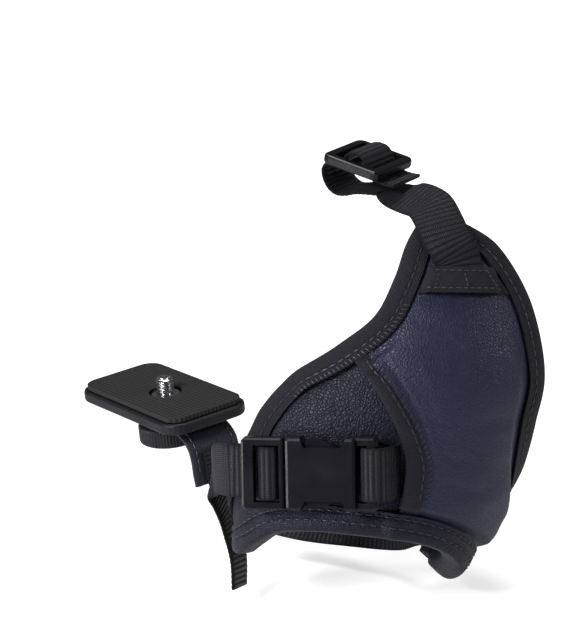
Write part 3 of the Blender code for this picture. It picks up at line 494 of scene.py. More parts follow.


# %% [markdown]
# ### Pebbled leather
# The panels are a coated leather with a small round grain. Real grain is a net of creases round
# raised cells, so the distance to the edge of Voronoi cells gives the creases, and a finer noise
# breaks them up. The creases are duller than the rubbed tops of the cells, and painted shade makes
# their colour darker. The base panel and the hem get a darker, duller copy of the same leather; on
# the base panel that copy is painted shade.

# %% Leather
def make_leather(name, colour, cell, depth, roughness, shine=0.5):
    look = Finish(name, colour, roughness)
    bend = look.add("ShaderNodeTexNoise", Vector=look.where.outputs["Object"], Scale=420.0, Detail=2.0)
    push = look.add("ShaderNodeVectorMath", Vector=bend.outputs["Color"])
    push.operation = "SCALE"
    push.inputs["Scale"].default_value = 0.0011
    spot = look.nodes.new("ShaderNodeVectorMath")
    look.links.new(look.where.outputs["Object"], spot.inputs[0])
    look.links.new(push.outputs[0], spot.inputs[1])
    cells = look.nodes.new("ShaderNodeTexVoronoi")
    cells.feature = "DISTANCE_TO_EDGE"
    look.links.new(spot.outputs[0], cells.inputs["Vector"])
    cells.inputs["Scale"].default_value = 1 / cell
    rise = look.spread(cells.outputs["Distance"], 0.0, 0.32, 0.0, 1.0)
    round_top = look.maths("POWER", rise, 0.55)
    height = look.maths("ADD", round_top, look.maths("MULTIPLY", look.noise(2600.0, 3.0), 0.25))
    dull = look.spread(round_top, 0.0, 1.0, roughness + 0.18, roughness)
    worn = look.spread(look.noise(45.0, 3.0), 0.3, 0.7, -0.05, 0.07)
    look.join(look.maths("ADD", dull, worn), "Roughness")
    # Painted shade: the creases between the cells get a darker colour than the cell tops.
    dark = tuple(0.55 * value for value in colour)
    look.join(look.mixed(round_top, dark, colour), "Base Color")
    look.relief(height, depth)
    return look.take(Specular_IOR_Level=shine, Specular_Tint=(0.80, 0.82, 1.0, 1))


leather = make_leather("pebbled_leather", (0.016, 0.017, 0.046), 0.95 * mm, 0.095 * mm, 0.37)
# The base panel's leather is a darker, duller copy of the same leather: painted shade. The hem uses it
# too.
base_leather = make_leather("base_leather", (0.006, 0.006, 0.016), 0.95 * mm, 0.13 * mm, 0.40, 0.36)
tab_leather = make_leather("tab_leather", (0.019, 0.020, 0.031), 0.9 * mm, 0.09 * mm, 0.48)
print("leather grain 0.95 mm")

# %% [markdown]
# ### Woven tape and webbing
# Binding tape is a flat plain weave: threads over and under in turn. Two rows of half waves, chosen
# by a checker, give it, and painted shade darkens the low parts of the weave. The webbing's cross
# ribs are modelled, so its material adds only the warp yarns that run over them, and painted shade
# darkens the valleys between the ribs.

# %% Tape, webbing, thread and lining
def waves(look, size, direction):
    node = look.add("ShaderNodeTexWave", Vector=look.grid(1.0), Scale=math.tau / 20 / size)
    node.bands_direction = direction
    return node.outputs["Fac"]


def make_tape():
    look = Finish("woven_tape", (0.010, 0.010, 0.014), 0.7)
    over = waves(look, 0.55, "X")
    under = waves(look, 0.55, "Y")
    squares = look.add("ShaderNodeTexChecker", Vector=look.grid(0.55), Scale=1.0)
    turns = squares.outputs["Fac"]
    rest = look.maths("SUBTRACT", 1.0, turns)
    height = look.maths("ADD", look.maths("MULTIPLY", over, turns), look.maths("MULTIPLY", under, rest))
    # Painted shade: the low parts of the weave get a darker colour.
    look.join(look.mixed(height, (0.002, 0.002, 0.004), (0.010, 0.010, 0.021)), "Base Color")
    look.relief(height, 0.12 * mm)
    return look.take(Specular_IOR_Level=0.32, Sheen_Weight=0.04)


def make_webbing():
    look = Finish("ribbed_webbing", (0.015, 0.015, 0.019), 0.6)
    ribs = look.nodes.new("ShaderNodeAttribute")
    ribs.attribute_name = "relief"
    yarns = waves(look, 0.62, "X")
    twist = look.add("ShaderNodeTexNoise", Vector=look.grid(0.35), Scale=1.0, Detail=2.0)
    height = look.maths("ADD", yarns, look.maths("MULTIPLY", twist.outputs["Fac"], 0.5))
    # Painted shade: the valleys between the ribs get a near-black colour.
    look.join(look.mixed(ribs.outputs["Fac"], (0.0005, 0.0005, 0.001), (0.009, 0.009, 0.017)),
              "Base Color")
    look.join(look.spread(ribs.outputs["Fac"], 0.2, 1.0, 0.85, 0.42), "Roughness")
    look.relief(height, 0.10 * mm)
    return look.take(Specular_IOR_Level=0.30, Sheen_Weight=0.02)


def make_thread():
    look = Finish("sewing_thread", (0.035, 0.035, 0.045), 0.38)
    look.relief(look.noise(4000.0), 0.03 * mm)
    return look.material


def make_lining():
    look = Finish("napped_lining", (0.026, 0.026, 0.029), 0.95)
    patches = look.spread(look.noise(70.0, 3.0), 0.35, 0.65, 0.0, 1.0)
    look.join(look.mixed(patches, (0.018, 0.018, 0.020), (0.034, 0.034, 0.038)), "Base Color")
    look.relief(look.noise(1500.0, 4.0), 0.12 * mm)
    return look.take(Sheen_Weight=0.4, Sheen_Roughness=0.5)


def make_foam():
    look = Finish("closed_foam", (0.085, 0.085, 0.085), 0.95)
    pores = look.add("ShaderNodeTexVoronoi", Vector=look.where.outputs["Object"], Scale=2200.0)
    look.relief(pores.outputs["Distance"], 0.1 * mm)
    return look.material


tape, webbing, thread = make_tape(), make_webbing(), make_thread()
lining, foam = make_lining(), make_foam()
print("tape weave 0.55 mm, webbing yarns 0.62 mm")

# %% [markdown]
# ### Plastic, rubber and metal
# Moulded acetal is nearly smooth, with a faint unevenness that breaks its highlights, and its
# handling leaves fine dull marks. The plate's rubber has fine parallel ridges, and painted shade
# darkens the grooves between them. The steel is plated.

# %% Hard finishes
def make_plastic(name, colour, roughness, grain):
    look = Finish(name, colour, roughness)
    marks = look.spread(look.noise(90.0, 4.0), 0.3, 0.7, roughness - 0.05, roughness + 0.10)
    look.join(marks, "Roughness")
    look.relief(look.noise(1800.0, 3.0), grain)
    return look.take(Specular_IOR_Level=0.26)


def make_rubber():
    look = Finish("ribbed_rubber", (0.017, 0.017, 0.018), 0.85)
    turned_to_plate = look.add("ShaderNodeMapping", Vector=look.where.outputs["Object"])
    turned_to_plate.inputs["Rotation"].default_value = (0, 0, math.radians(55))
    ridges = look.add("ShaderNodeTexWave", Vector=turned_to_plate.outputs[0],
                      Scale=math.tau / 20 / (1.6 * mm))
    ridges.bands_direction = "Y"
    grit = look.maths("MULTIPLY", look.noise(3000.0), 0.15)
    height = look.maths("ADD", ridges.outputs["Fac"], grit)
    # Painted shade: the grooves between the ridges get a darker colour.
    look.join(look.mixed(ridges.outputs["Fac"], (0.008, 0.008, 0.008), (0.022, 0.022, 0.023)),
              "Base Color")
    look.relief(height, 0.3 * mm)
    return look.material


def make_steel():
    look = Finish("plated_steel", (0.62, 0.62, 0.64), 0.24, 1.0)
    wear = look.noise(600.0, 4.0)
    look.join(look.spread(wear, 0.3, 0.7, 0.18, 0.34), "Roughness")
    look.relief(wear, 0.01 * mm)
    return look.material


plastic = make_plastic("buckle_plastic", (0.005, 0.005, 0.009), 0.28, 0.015 * mm)
plate_plastic = make_plastic("plate_plastic", (0.010, 0.010, 0.014), 0.45, 0.05 * mm)
knob_plastic = make_plastic("knob_plastic", (0.013, 0.013, 0.017), 0.38, 0.03 * mm)
nylon = make_plastic("washer_nylon", (0.68, 0.68, 0.66), 0.5, 0.02 * mm)
rubber, steel = make_rubber(), make_steel()


def finished(piece, look):
    piece.data.materials.clear()
    piece.data.materials.append(look)


def dress(piece, look, body="strap", replaces=()):
    """Gives a piece its material, its body and the solid that it stands for."""
    finished(piece, look)
    if body:
        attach(piece, body)
    if replaces:
        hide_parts(*replaces)
    return piece


for node, look in (("buckle_socket", plastic), ("buckle_plug", plastic), ("upper_slider", plastic),
                   ("base_plate", plate_plastic), ("base_plate_rubber", rubber),
                   ("tab_eyelet", steel), ("stud_washer", nylon), ("stud_ring", steel)):
    finished(frame["nodes"][node], look)
print("materials:", len(bpy.data.materials))

# %% [markdown]
# ## The pad's layers
# From the palm outwards: napped lining, foam, base leather. Foam makes the leather rise a little
# between its seams and sink where the binding is sewn, so each layer's height grows with the
# distance from the edges. Slow ripples of a fraction of a millimetre keep it from looking machined.

# %% Even and crowded rows
def spaced(count, pull):
    """Numbers from 0 to 1, closer together at both ends by the share `pull`."""
    even = np.linspace(-1, 1, count)
    return 0.5 + 0.5 * ((1 - pull) * even + pull * np.sin(even * math.pi / 2))


def pad_grid(left_edge, rows, columns, pull):
    share, way = np.broadcast_arrays(np.linspace(0, 1, rows)[:, None], spaced(columns, pull)[None, :])
    return share, way, *panel(left_edge, share, way)


# %% [markdown]
# ## How the leather settles
# Real leather over foam isn't a smooth dome. It is cut slightly too large, sewn down round its
# outline and pushed out from below, so it settles in soft folds that start at the seams. A coarse
# sheet does that in the cloth solver, at ten times its size, where the solver is steadiest. Its
# height over the flat panel, divided by its greatest value, becomes a table that the fine leather
# reads between the rows. The solver gives the pattern of the folds. How high they stand is chosen
# for each panel, because the leather has to stay in the space of its solid.

# %% Cloth simulation of a sewn panel
SHEET_SCALE = 10
SEWN_STRIP = 6.4 * mm


def settled(left_edge, extra, rows=72, columns=60, frames=26):
    """Height of a sewn sheet under pressure: ((settled - flat) . normal) / its greatest value."""
    share, way = np.broadcast_arrays(np.linspace(0, 1, rows)[:, None], np.linspace(0, 1, columns))
    turn, along = panel(left_edge, share, way)
    flat = form(turn, along, BASE_TOP) * SHEET_SCALE
    from_seams = np.minimum.reduce([
        *(distance(line, turn, along) for line in (THUMB_EDGE, HEEL_EDGE, left_edge)),
        np.abs(along - hem_along(hem_share(turn)))])
    held = from_seams < SEWN_STRIP
    held[[0, -1]], held[:, [0, -1]] = True, True
    index = np.arange(flat[..., 0].size).reshape(rows, columns)
    faces = quads(index[:-1, :-1], index[:-1, 1:], index[1:, 1:], index[1:, :-1])
    cloth_sheet = mesh_of("settling_sheet", flat.reshape(-1, 3), faces, place=Matrix())
    cloth_sheet.vertex_groups.new(name="sewn").add(index[held].tolist(), 1.0, "REPLACE")
    cloth = cloth_sheet.modifiers.new("settling", "CLOTH").settings
    cloth.vertex_group_mass = "sewn"
    cloth.quality, cloth.mass, cloth.air_damping = 8, 0.25, 4
    cloth.tension_stiffness = cloth.compression_stiffness = 30
    cloth.shear_stiffness, cloth.bending_stiffness = 12, 1.5
    cloth.use_pressure, cloth.uniform_pressure_force = True, 2.0
    cloth.shrink_min = cloth.shrink_max = -extra
    cloth.effector_weights.gravity = 0
    scene = bpy.context.scene
    for frame in range(1, frames + 1):
        scene.frame_set(frame)
    moved = cloth_sheet.evaluated_get(bpy.context.evaluated_depsgraph_get()).data
    places = np.empty(flat.size, np.float32)
    moved.vertices.foreach_get("co", places)
    bpy.data.objects.remove(cloth_sheet)
    scene.frame_set(1)
    normal = outward(turn, along)
    lift = np.sum((places.reshape(flat.shape) - flat) * normal, axis=-1)
    print("settled sheet rises and sinks",
          [round(float(v) / SHEET_SCALE / mm, 2) for v in (lift.max(), lift.min())], "mm")
    return lift / np.abs(lift).max()


def read_table(table, shares, ways):
    """Cubic reading of a table between its rows, then between its columns."""
    rows, columns = (np.linspace(0, 1, count) for count in table.shape)
    return through(columns, through(rows, table, shares).T, ways).T


def folds_on(left_edge, extra, rows, columns, pull):
    return read_table(settled(left_edge, extra), np.linspace(0, 1, rows), spaced(columns, pull))


# %% Lining, foam and base leather
BASE_GRID = 150, 190, 0.6
OVERLAY_GRID = 170, 130, 0.5
STRAP_ALONG = 3.2 * mm
share, way, turn, along = pad_grid(THUMB_EDGE, *BASE_GRID)
from_side = np.minimum(distance(THUMB_EDGE, turn, along), distance(HEEL_EDGE, turn, along))
from_hem = np.abs(along - hem_along(hem_share(turn)))
inside = ramp((np.minimum(from_side, from_hem) - 3 * mm) / (8 * mm))
uneven = ripple(turn * 0.5 * mm, along, 16 * mm, 0.7)

foam_swell = 0.35 * mm * inside * (0.7 + 0.3 * uneven)
outer = form(turn, along, FOAM_HEIGHT + FOAM + np.minimum(foam_swell, 0.3 * mm))
inner = form(turn, along, FOAM_HEIGHT + 0 * turn)
foam_core = dress(wall("foam_core", outer, inner), foam, replaces=["foam_pad"])

# Quilted waves on the palm side: three rows of shallow channels between the seams
channels = 0.25 * mm * np.cos(along / (11 * mm) * math.tau) * inside
under = -0.15 * mm * inside + np.minimum(channels, 0) * 0.8 + 0.08 * mm * uneven * inside
palm = form(turn, along, under)
palm_side = wall("palm_side_lining", form(turn, along, LINING + 0 * turn), palm)
dress(palm_side, lining, replaces=["palm_lining"])

under_strap = np.exp(-((along - STRAP_ALONG) / (9 * mm))**4) * (turn < 40)
base_folds = folds_on(THUMB_EDGE, 0.03, *BASE_GRID)
swell = (0.55 * mm * np.maximum(base_folds, 0) + 0.15 * mm) * (1 - 0.5 * under_strap) * inside
swell += 0.06 * mm * uneven * inside
swell -= 0.25 * mm * np.exp(-((from_side - 6.2 * mm) / (1.2 * mm))**2)
outer = form(turn, along, BASE_TOP + swell)
inner = form(turn, along, BASE_HEIGHT + 0 * turn)
# Painted shade: the base panel wears the darker copy of the leather.
base_panel = dress(wall("base_leather_panel", outer, inner), base_leather,
                   replaces=["base_leather"])
print("base leather rises", round(float(swell.max()) / mm, 2), "mm")

# %% [markdown]
# ## The overlay
# The second leather panel starts at its own bound edge, stands clear over the tunnel where the wrist
# webbing goes in, and is sewn down on its other three sides. Its height is the tunnel's, faded to
# nothing near each seam. A low pillow between the seams gives it its broad highlight.

# %% Overlay leather
def overlay_lift(share, turn, along):
    """Height over the base: full over the tunnel, falling to none at the seams."""
    sewn = TAPE_ARM + 2.2 * mm
    from_heel = ramp((distance(HEEL_EDGE, turn, along) - sewn) / (5 * mm))
    from_thumb = ramp((distance(THUMB_EDGE, turn, along) - sewn) / (3 * mm))
    level = np.interp(share, OVERLAY_LEVEL[:, 0], OVERLAY_LEVEL[:, 1])
    return (OVERLAY_HIGH - OVERLAY_LOW) * ramp((share - 0.086) / 0.038) * from_heel * from_thumb * level


def overlay_height(share, turn, along, folds=0):
    """Outer face: tunnel lift, a low pillow between the seams, and the settled folds."""
    edge = np.minimum.reduce([distance(line, turn, along)
                              for line in (HEEL_EDGE, THUMB_EDGE, POCKET_EDGE)])
    hem = np.abs(along - hem_along(hem_share(turn)))
    room = ramp((edge - 5.5 * mm) / (9 * mm)) * ramp((hem - 6 * mm) / (8 * mm))
    under_band = 1 - np.exp(-((along - 58 * mm) / (7 * mm))**4)
    pillow = (0.25 * mm + 0.85 * mm * np.maximum(folds, -0.2)) * room * under_band
    seam = -0.3 * mm * np.exp(-((edge - 6.4 * mm) / (1.1 * mm))**2)
    return OVERLAY_TOP + overlay_lift(share, turn, along) + pillow + seam


share, way, turn, along = pad_grid(POCKET_EDGE, *OVERLAY_GRID)
overlay_folds = folds_on(POCKET_EDGE, 0.04, *OVERLAY_GRID)
overlay_top = overlay_height(share, turn, along, overlay_folds)
overlay_low = OVERLAY_LOW + overlay_lift(share, turn, along)
overlay_panel = wall("overlay_leather_panel", form(turn, along, overlay_top),
                     form(turn, along, overlay_low))
dress(overlay_panel, leather, replaces=["overlay_leather"])
print("overlay stands", round(float((overlay_top - BASE_TOP).max()) / mm, 2), "mm over the base")

# %% [markdown]
# ## Tape and leather folded over the edges
# A binding is a strip folded over an edge: one arm under the layers, one over them. Its section is a
# smooth curve through a few points of depth and height, carried along the outline. The line of
# stitches near its free edge presses it down.

# %% Folded edges
def edge_steps(turn, along):
    """Steps in turn and along that make one metre of travel inwards, at right angles to the edge."""
    by_turn, by_along = slopes_at(turn, along)
    normal = unit(np.cross(by_turn, by_along))
    inward = unit(np.cross(unit(np.gradient(form(turn, along, 0), axis=0)), normal))
    uu, vv, uv = (np.sum(a * b, 1) for a, b in (
        (by_turn, by_turn), (by_along, by_along), (by_turn, by_along)))
    iu, iv = np.sum(by_turn * inward, 1), np.sum(by_along * inward, 1)
    size = uu * vv - uv * uv
    return (iu * vv - iv * uv) / size, (iv * uu - iu * uv) / size


def folded(name, turn, along, high, arm, look, node, seams, seat=0.45 * mm, full=0.0,
           dent=0.16 * mm):
    """Strip round an edge: a section of (depth, height) points, smoothed, with a dent at each seam.

    It also returns a line and its normals for each seam, on the strip's outer face.
    """
    turn_step, along_step = edge_steps(turn, along)
    under = -GAP - TAPE / 2 - 0.6 * mm
    over = high + GAP + TAPE / 2 + 0.3 * mm
    out = -0.9 * mm
    depth = np.array([arm, 0.74 * arm, 0.45 * arm, 0.04 * arm, 0.9 * out, 1.25 * out, 0.9 * out,
                      0.3 * arm, arm])
    height = np.stack([over - seat, over - 0.7 * seat, over + full, over + 0.2 * full,
                       over - 0.15 * (over - under), (over + under) / 2,
                       under + 0.15 * (over - under), under + 0 * over, under + 0 * over])
    knots, at = np.linspace(0, 1, len(depth)), np.linspace(0, 1, 57)
    depths = through(knots, depth[:, None], at)[:, 0]
    heights = through(knots, height, at)
    upper = at < 0.375
    for seam in seams:
        heights -= (dent * upper * np.exp(-((depths - seam) / (0.6 * mm))**2))[:, None]
    middle = np.stack([form(turn + turn_step * d, along + along_step * d, h)
                       for d, h in zip(depths, heights)], 1)
    outside, within = thick(middle[:, ::-1], TAPE)
    piece = wall(name, outside, within, sharp=60)
    print(name, "rows", len(turn), "seams", len(seams))
    dress(piece, look, replaces=[node])
    lines = []
    for seam in seams:
        inward = np.stack([np.interp(seam, depths[upper][::-1], row[::-1]) for row in heights[upper].T])
        seam_turn, seam_along = turn + turn_step * seam, along + along_step * seam
        lines.append((form(seam_turn, seam_along, inward + TAPE / 2), outward(seam_turn, seam_along)))
    return lines


def on_edge(turn, along, high, depth, above):
    """Line and normals that run beside an edge, at a depth and a height over the layers."""
    turn_step, along_step = edge_steps(turn, along)
    turn, along = turn + turn_step * depth, along + along_step * depth
    return form(turn, along, high + above), outward(turn, along)


rows = np.linspace(0, 1, 220)
top_turn = np.linspace(THUMB_EDGE[-1, 1], HEEL_EDGE[-1, 1], 22)[1:-1]
thumb_turn, thumb_along = stations(THUMB_EDGE, rows)
heel_turn, heel_along = stations(HEEL_EDGE, rows[::-1])
edge_turn = np.concatenate([thumb_turn, top_turn, heel_turn])
edge_along = np.concatenate([thumb_along, np.full(len(top_turn), THUMB_EDGE[-1, 2] * mm), heel_along])
edge_share = np.concatenate([rows, np.ones(len(top_turn)), rows[::-1]])
on_thumb = np.arange(len(edge_turn)) < len(rows)
rise = np.where(on_thumb, ramp((edge_share - 0.51) / 0.06), 1)
edge_high = BASE_TOP + (OVERLAY_TOP - BASE_TOP) * rise
edge_seams = folded("edge_tape", edge_turn, edge_along, edge_high, TAPE_ARM, tape,
                    "edge_binding", seams=[3.4 * mm])

hem_rows = np.linspace(0.925, 0.08, 300)
hem_turn = THUMB_EDGE[0, 1] + hem_rows * (HEEL_EDGE[0, 1] - THUMB_EDGE[0, 1])
pocket_share = hem_share(POCKET_EDGE[0, 1])
hem_high = BASE_TOP + (OVERLAY_TOP - BASE_TOP) * ramp((hem_rows - pocket_share + 0.03) / 0.03)
hem_seams = folded("folded_hem", hem_turn, hem_along(hem_rows), hem_high, 7.2 * mm, base_leather,
                   "hem_binding", seams=[2.8 * mm, 5.8 * mm], seat=0.35 * mm, full=0.1 * mm,
                   dent=0.32 * mm)


# %% [markdown]
# ## The overlay's bound edge
# Woven tape is folded over the overlay's free edge, which leaves a dark slot for the webbing on its
# left. It follows the overlay's own height and dives under the pad's binding at its upper end.

# %% Pocket tape
def pocket_tape():
    share = np.linspace(0.113, 0.66, 150)
    turn0, along0 = panel(POCKET_EDGE, share, 0 * share)
    turn1, along1 = panel(POCKET_EDGE, share, 0 * share + 0.1)
    span = np.linalg.norm(form(turn1, along1, OVERLAY_TOP) - form(turn0, along0, OVERLAY_TOP), axis=1)
    low, high = -GAP - TAPE / 2, LEATHER + GAP + TAPE / 2
    section = np.array([(4.6, high - 0.3 * mm), (3.4, high - 0.2 * mm), (1.6, high + 0.15 * mm),
                        (0.2, high), (-0.75, 0.7 * high), (-0.95, 0.4 * high), (-0.6, 0.3 * low),
                        (0.6, low), (2.6, low), (4.6, low)]) * (mm, 1)
    knots = np.linspace(0, 1, len(section))
    lines = []
    sink = 0.8 * mm * ramp((share - 0.58) / 0.08)
    for depth, height in through(knots, section, np.linspace(0, 1, 29))[::-1]:
        step = depth / span * 0.1
        turn, along = panel(POCKET_EDGE, share, step)
        lift = overlay_lift(share, turn, along)
        lines.append(form(turn, along, OVERLAY_LOW + lift + height - sink))
    outside, within = thick(np.stack(lines, 1), TAPE)
    dress(wall("pocket_tape", outside, within, sharp=60), tape,
          replaces=["pocket_binding"])
    return share, span


pocket_rows, pocket_span = pocket_tape()


# %% [markdown]
# ## Seams
# The edge tape, the hem and the pocket tape are each sewn near their free edge. A second row runs in
# the leather beside the tape, where the layers below are caught. The hem has two rows.

# %% Sewn rows
def sewn(name, line, normal, **sizes):
    return dress(stitch_row(name, line, normal, **sizes), thread)


for number, (line, normal) in enumerate(edge_seams + hem_seams):
    sewn(f"edge_seam_{number + 1}", line[4:-4], normal[4:-4], lift=(0.12, 0.3)[number > 0] * mm)


def pocket_line(depth, above, first, last):
    """A line beside the overlay's free edge, with its normals."""
    share = np.linspace(first, last, 120)
    span = np.interp(share, pocket_rows, pocket_span)
    turn, along = panel(POCKET_EDGE, share, depth / span * 0.1)
    return form(turn, along, overlay_height(share, turn, along) + above), outward(turn, along)


sewn("pocket_stitches", *pocket_line(3.6 * mm, GAP + TAPE - 0.2 * mm, 0.135, 0.60))
sewn("pocket_overlock", *pocket_line(5.9 * mm, 0.02 * mm, 0.135, 0.63), pitch=1.7 * mm,
     length=2.3 * mm, crosswise=True)
held = slice(112, 176)
sewn("thumb_overlock", *on_edge(edge_turn[held], edge_along[held], edge_high[held], 4.9 * mm,
                                0.84 * mm), pitch=1.5 * mm, length=2.0 * mm, crosswise=True)


# %% [markdown]
# ## Ribbed webbing
# The straps are nylon webbing with raised ribs across it, 1.65 mm apart. Each strap is a
# path with the direction of its width at every point. The ribs are a half wave added to both faces,
# which fades at the woven edges, and the strap thins there as a real selvage does.

# %% Webbing helpers
RIB = 1.65 * mm


def webbing_strap(name, path, width, node, rib=0.26 * mm, body="strap"):
    """Faces: centre + side * across + normal * (half thickness + rib * wave), thin at the edges."""
    length = np.linalg.norm(np.diff(path[:, :3], axis=0), axis=1).sum()
    count = int(length / RIB * 8)
    path = smooth_path(path, count)
    centre, side, drop = path[:, :3], path[:, 3:6], path[:, 6:]
    along = unit(np.gradient(centre, axis=0))
    side = unit(side - np.sum(side * along, axis=1, keepdims=True) * along)
    normal = np.cross(along, side)
    x = np.array([-1, -0.985, -0.95, -0.88, -0.7, -0.45, -0.15, 0.15, 0.45, 0.7, 0.88, 0.95, 0.985, 1])
    way = np.linspace(0, length, count)[:, None]
    wave = np.abs(np.sin(way / RIB * math.pi))**0.8
    fade = 1 - np.abs(x)**14
    half = (WEBBING / 2 - 0.06 * mm) * (0.35 + 0.65 * (1 - np.abs(x)**10)**0.5)
    height = half + rib * (wave - 0.35) * fade
    middle = centre[:, None] + (side * width / 2)[:, None] * x[:, None] + (
        normal * drop)[:, None] * (x**2)[:, None]
    up, down = middle + normal[:, None] * height[..., None], middle - normal[:, None] * height[..., None]
    # The rib wave also sets the webbing's colour: painted shade in the valleys.
    relief = wave * fade
    piece = wall(name, down, up, relief, sharp=70)
    print(name, round(length / mm), "mm,", int(length / RIB), "ribs")
    return dress(piece, webbing, body=body, replaces=[node])


def place_in(matrix, x, y, z):
    return np.array(matrix @ Vector((x * mm, y * mm, z * mm)))


def free(place, side, drop=0.0):
    return np.concatenate([np.array(place) * mm, unit(np.array(side, float)), [drop]])


def on_form(turn, along, height, half_width=8 * mm):
    place = form(turn, along * mm, height)
    side = form(turn, along * mm + half_width, height) - form(turn, along * mm - half_width, height)
    return np.concatenate([place, unit(side), [0]])


# %% [markdown]
# ## The buckle's and slider's own frames
# The wrist webbing is threaded through the buckle, so its route there is written in the buckle's
# frame: X along the strap, Z outwards. The slider has one too. Both are placed by the same
# rule as the solid parts, so the webbing goes through their slots.

# %% Frames of buckle, slider and plate
BUCKLE_AT = np.array([-20.0]), np.array([STRAP_ALONG])
seat_across, seat_up = (Vector(v[0]).normalized() for v in slopes_at(*BUCKLE_AT))
seat_out = seat_across.cross(seat_up).normalized()
seat = Vector(form(*BUCKLE_AT, BASE_TOP + 1.6 * mm)[0]) - seat_across * 3.5 * mm
BUCKLE = Matrix.Translation(seat) @ Matrix(
    (seat_across, seat_out.cross(seat_across), seat_out)).transposed().to_4x4()
SOCKET_END = 17.3

slider_along = Vector((-0.80, 0.34, -0.50)).normalized()
slider_side = Vector((0.113, 0.898, 0.43)).normalized().cross(slider_along).normalized()
SLIDER = Matrix.Translation((11.6 * mm, 96.4 * mm, 1 * mm)) @ Matrix(
    (slider_along, slider_side, slider_along.cross(slider_side))).transposed().to_4x4()
PLATE = Matrix.Rotation(math.radians(-55), 4, "Z")
to_pad = PAD_FRAME.inverted() @ PLATE


def in_buckle(x, z):
    return np.concatenate([place_in(BUCKLE, x, 0, z), BUCKLE.col[1][:3], [0]])


def in_slider(x, z):
    return np.concatenate([place_in(SLIDER, x, 0, z), -np.array(SLIDER.col[1][:3]), [0]])


def in_plate(x, z):
    return np.concatenate([place_in(to_pad, x, 0, z), to_pad.col[1][:3], [0]])


def in_tunnel(turn, along):
    normal = outward(turn, along * mm)
    side = np.array(BUCKLE.col[1][:3])
    place = form(turn, along * mm, TUNNEL_WEBBING + 0.05 * mm)
    return np.concatenate([place, unit(side - side.dot(normal) * normal), [0]])


def leaning(turn, along, height, drop):
    by_turn, by_along = slopes_at(turn, along * mm)
    lean = math.radians(19)
    side = unit(by_turn) * math.cos(lean) + unit(by_along) * math.sin(lean)
    return np.concatenate([form(turn, along * mm, height), unit(side), [drop * mm]])


print("buckle at", [round(v / mm, 1) for v in (PAD_FRAME @ BUCKLE).translation])

# %% [markdown]
# ## Wrist webbing
# The short piece comes out of the tunnel, goes over the socket's bar and back underneath. The long
# one starts as a loose tail, turns round the plug's bar and runs round the form to the heel. It is
# attached to neither body.

# %% Short and long wrist webbing
loop = [in_buckle(SOCKET_END + past, z) for past, z in (
    (8.6, -3.7), (7.4, -1.3), (6.3, 1.6), (5.2, 4.4), (4.0, 5.7), (2.4, 6.15), (0.6, 6.05),
    (-0.85, 5.1), (-1.4, 3.3), (-1.35, 1.6), (0.0, 0.0), (1.9, -0.3), (3.4, -0.6), (4.6, -1.3),
    (5.6, -2.3))]
tunnel = [in_tunnel(turn, along) for turn, along in (
    (56, 3.3), (50, 3.6), (42, 3.9), (34, 4.1), (26, 4.1), (20, 4.1), (16, 4.0), (13.4, 3.9),
    (12, 3.9))]
webbing_strap("short_wrist_strap", np.array(tunnel + loop), 16 * mm, "wrist_webbing_short")

over_edge = BASE_TOP + 2 * GAP + TAPE + WEBBING / 2 + 0.25 * mm
over_wing = OVERLAY_TOP + 2 * GAP + TAPE + WEBBING / 2 + 0.45 * mm
outer_lap = over_edge + WEBBING + GAP
tail = [free((-28.5, -37, -14), (0.25, 0, -0.97)), free((-28.8, -28, -14), (0.28, 0, -0.96)),
        free((-30.5, -20, -14), (0.32, 0, -0.95)), free((-32.4, -12.5, -13), (0.30, 0.25, -0.92)),
        free((-34.6, -6.0, -10), (0.22, 0.65, -0.72)), free((-36.4, -1.2, -5.5), (0.15, 0.92, -0.35)),
        on_form(-91, 1.6, outer_lap + 0.5 * mm), on_form(-76, 2.8, outer_lap + 0.6 * mm)]
grip = [in_buckle(x, z) for x, z in (
    (-26.0, -0.5), (-23.0, 0.6), (-20.0, 1.15), (-17.8, 1.1), (-16.3, 1.6), (-15.4, 2.9),
    (-15.1, 4.4), (-14.2, 5.6), (-12.4, 6.0), (-10.8, 5.5), (-10.12, 4.2), (-10.1, 2.6),
    (-10.5, 0.9), (-12.0, 0.0), (-14.0, -0.35), (-18.0, -0.5), (-22.0, -1.4), (-26.0, -3.1))]
round_form = [on_form(turn, along, height) for turn, along, height in (
    (-74, 2.8, over_edge), (-92, 2.2, over_edge), (-108, 1.2, over_edge),
    (-125, 0.2, TUNNEL_WEBBING + 0.3 * mm), (-145, -0.6, TUNNEL_WEBBING),
    (-165, -1.2, TUNNEL_WEBBING), (-185, -2.0, TUNNEL_WEBBING),
    (-205, -3.0, TUNNEL_WEBBING + 1.0 * mm), (-220, -4.8, over_wing), (-232, -7.8, over_wing),
    (-242, -10.2, over_wing), (-252, -12, over_wing))]
long_strap = webbing_strap("long_wrist_strap", np.array(tail + grip + round_form), 16 * mm,
                           "wrist_webbing_long", body=None)
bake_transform(long_strap)

# %% [markdown]
# ## Upper and lower webbing
# The upper piece leaves the pad under a fabric band, turns round in an open eye and goes back
# through the slider. The lower one ties the plate's tab to the heel of the pad.

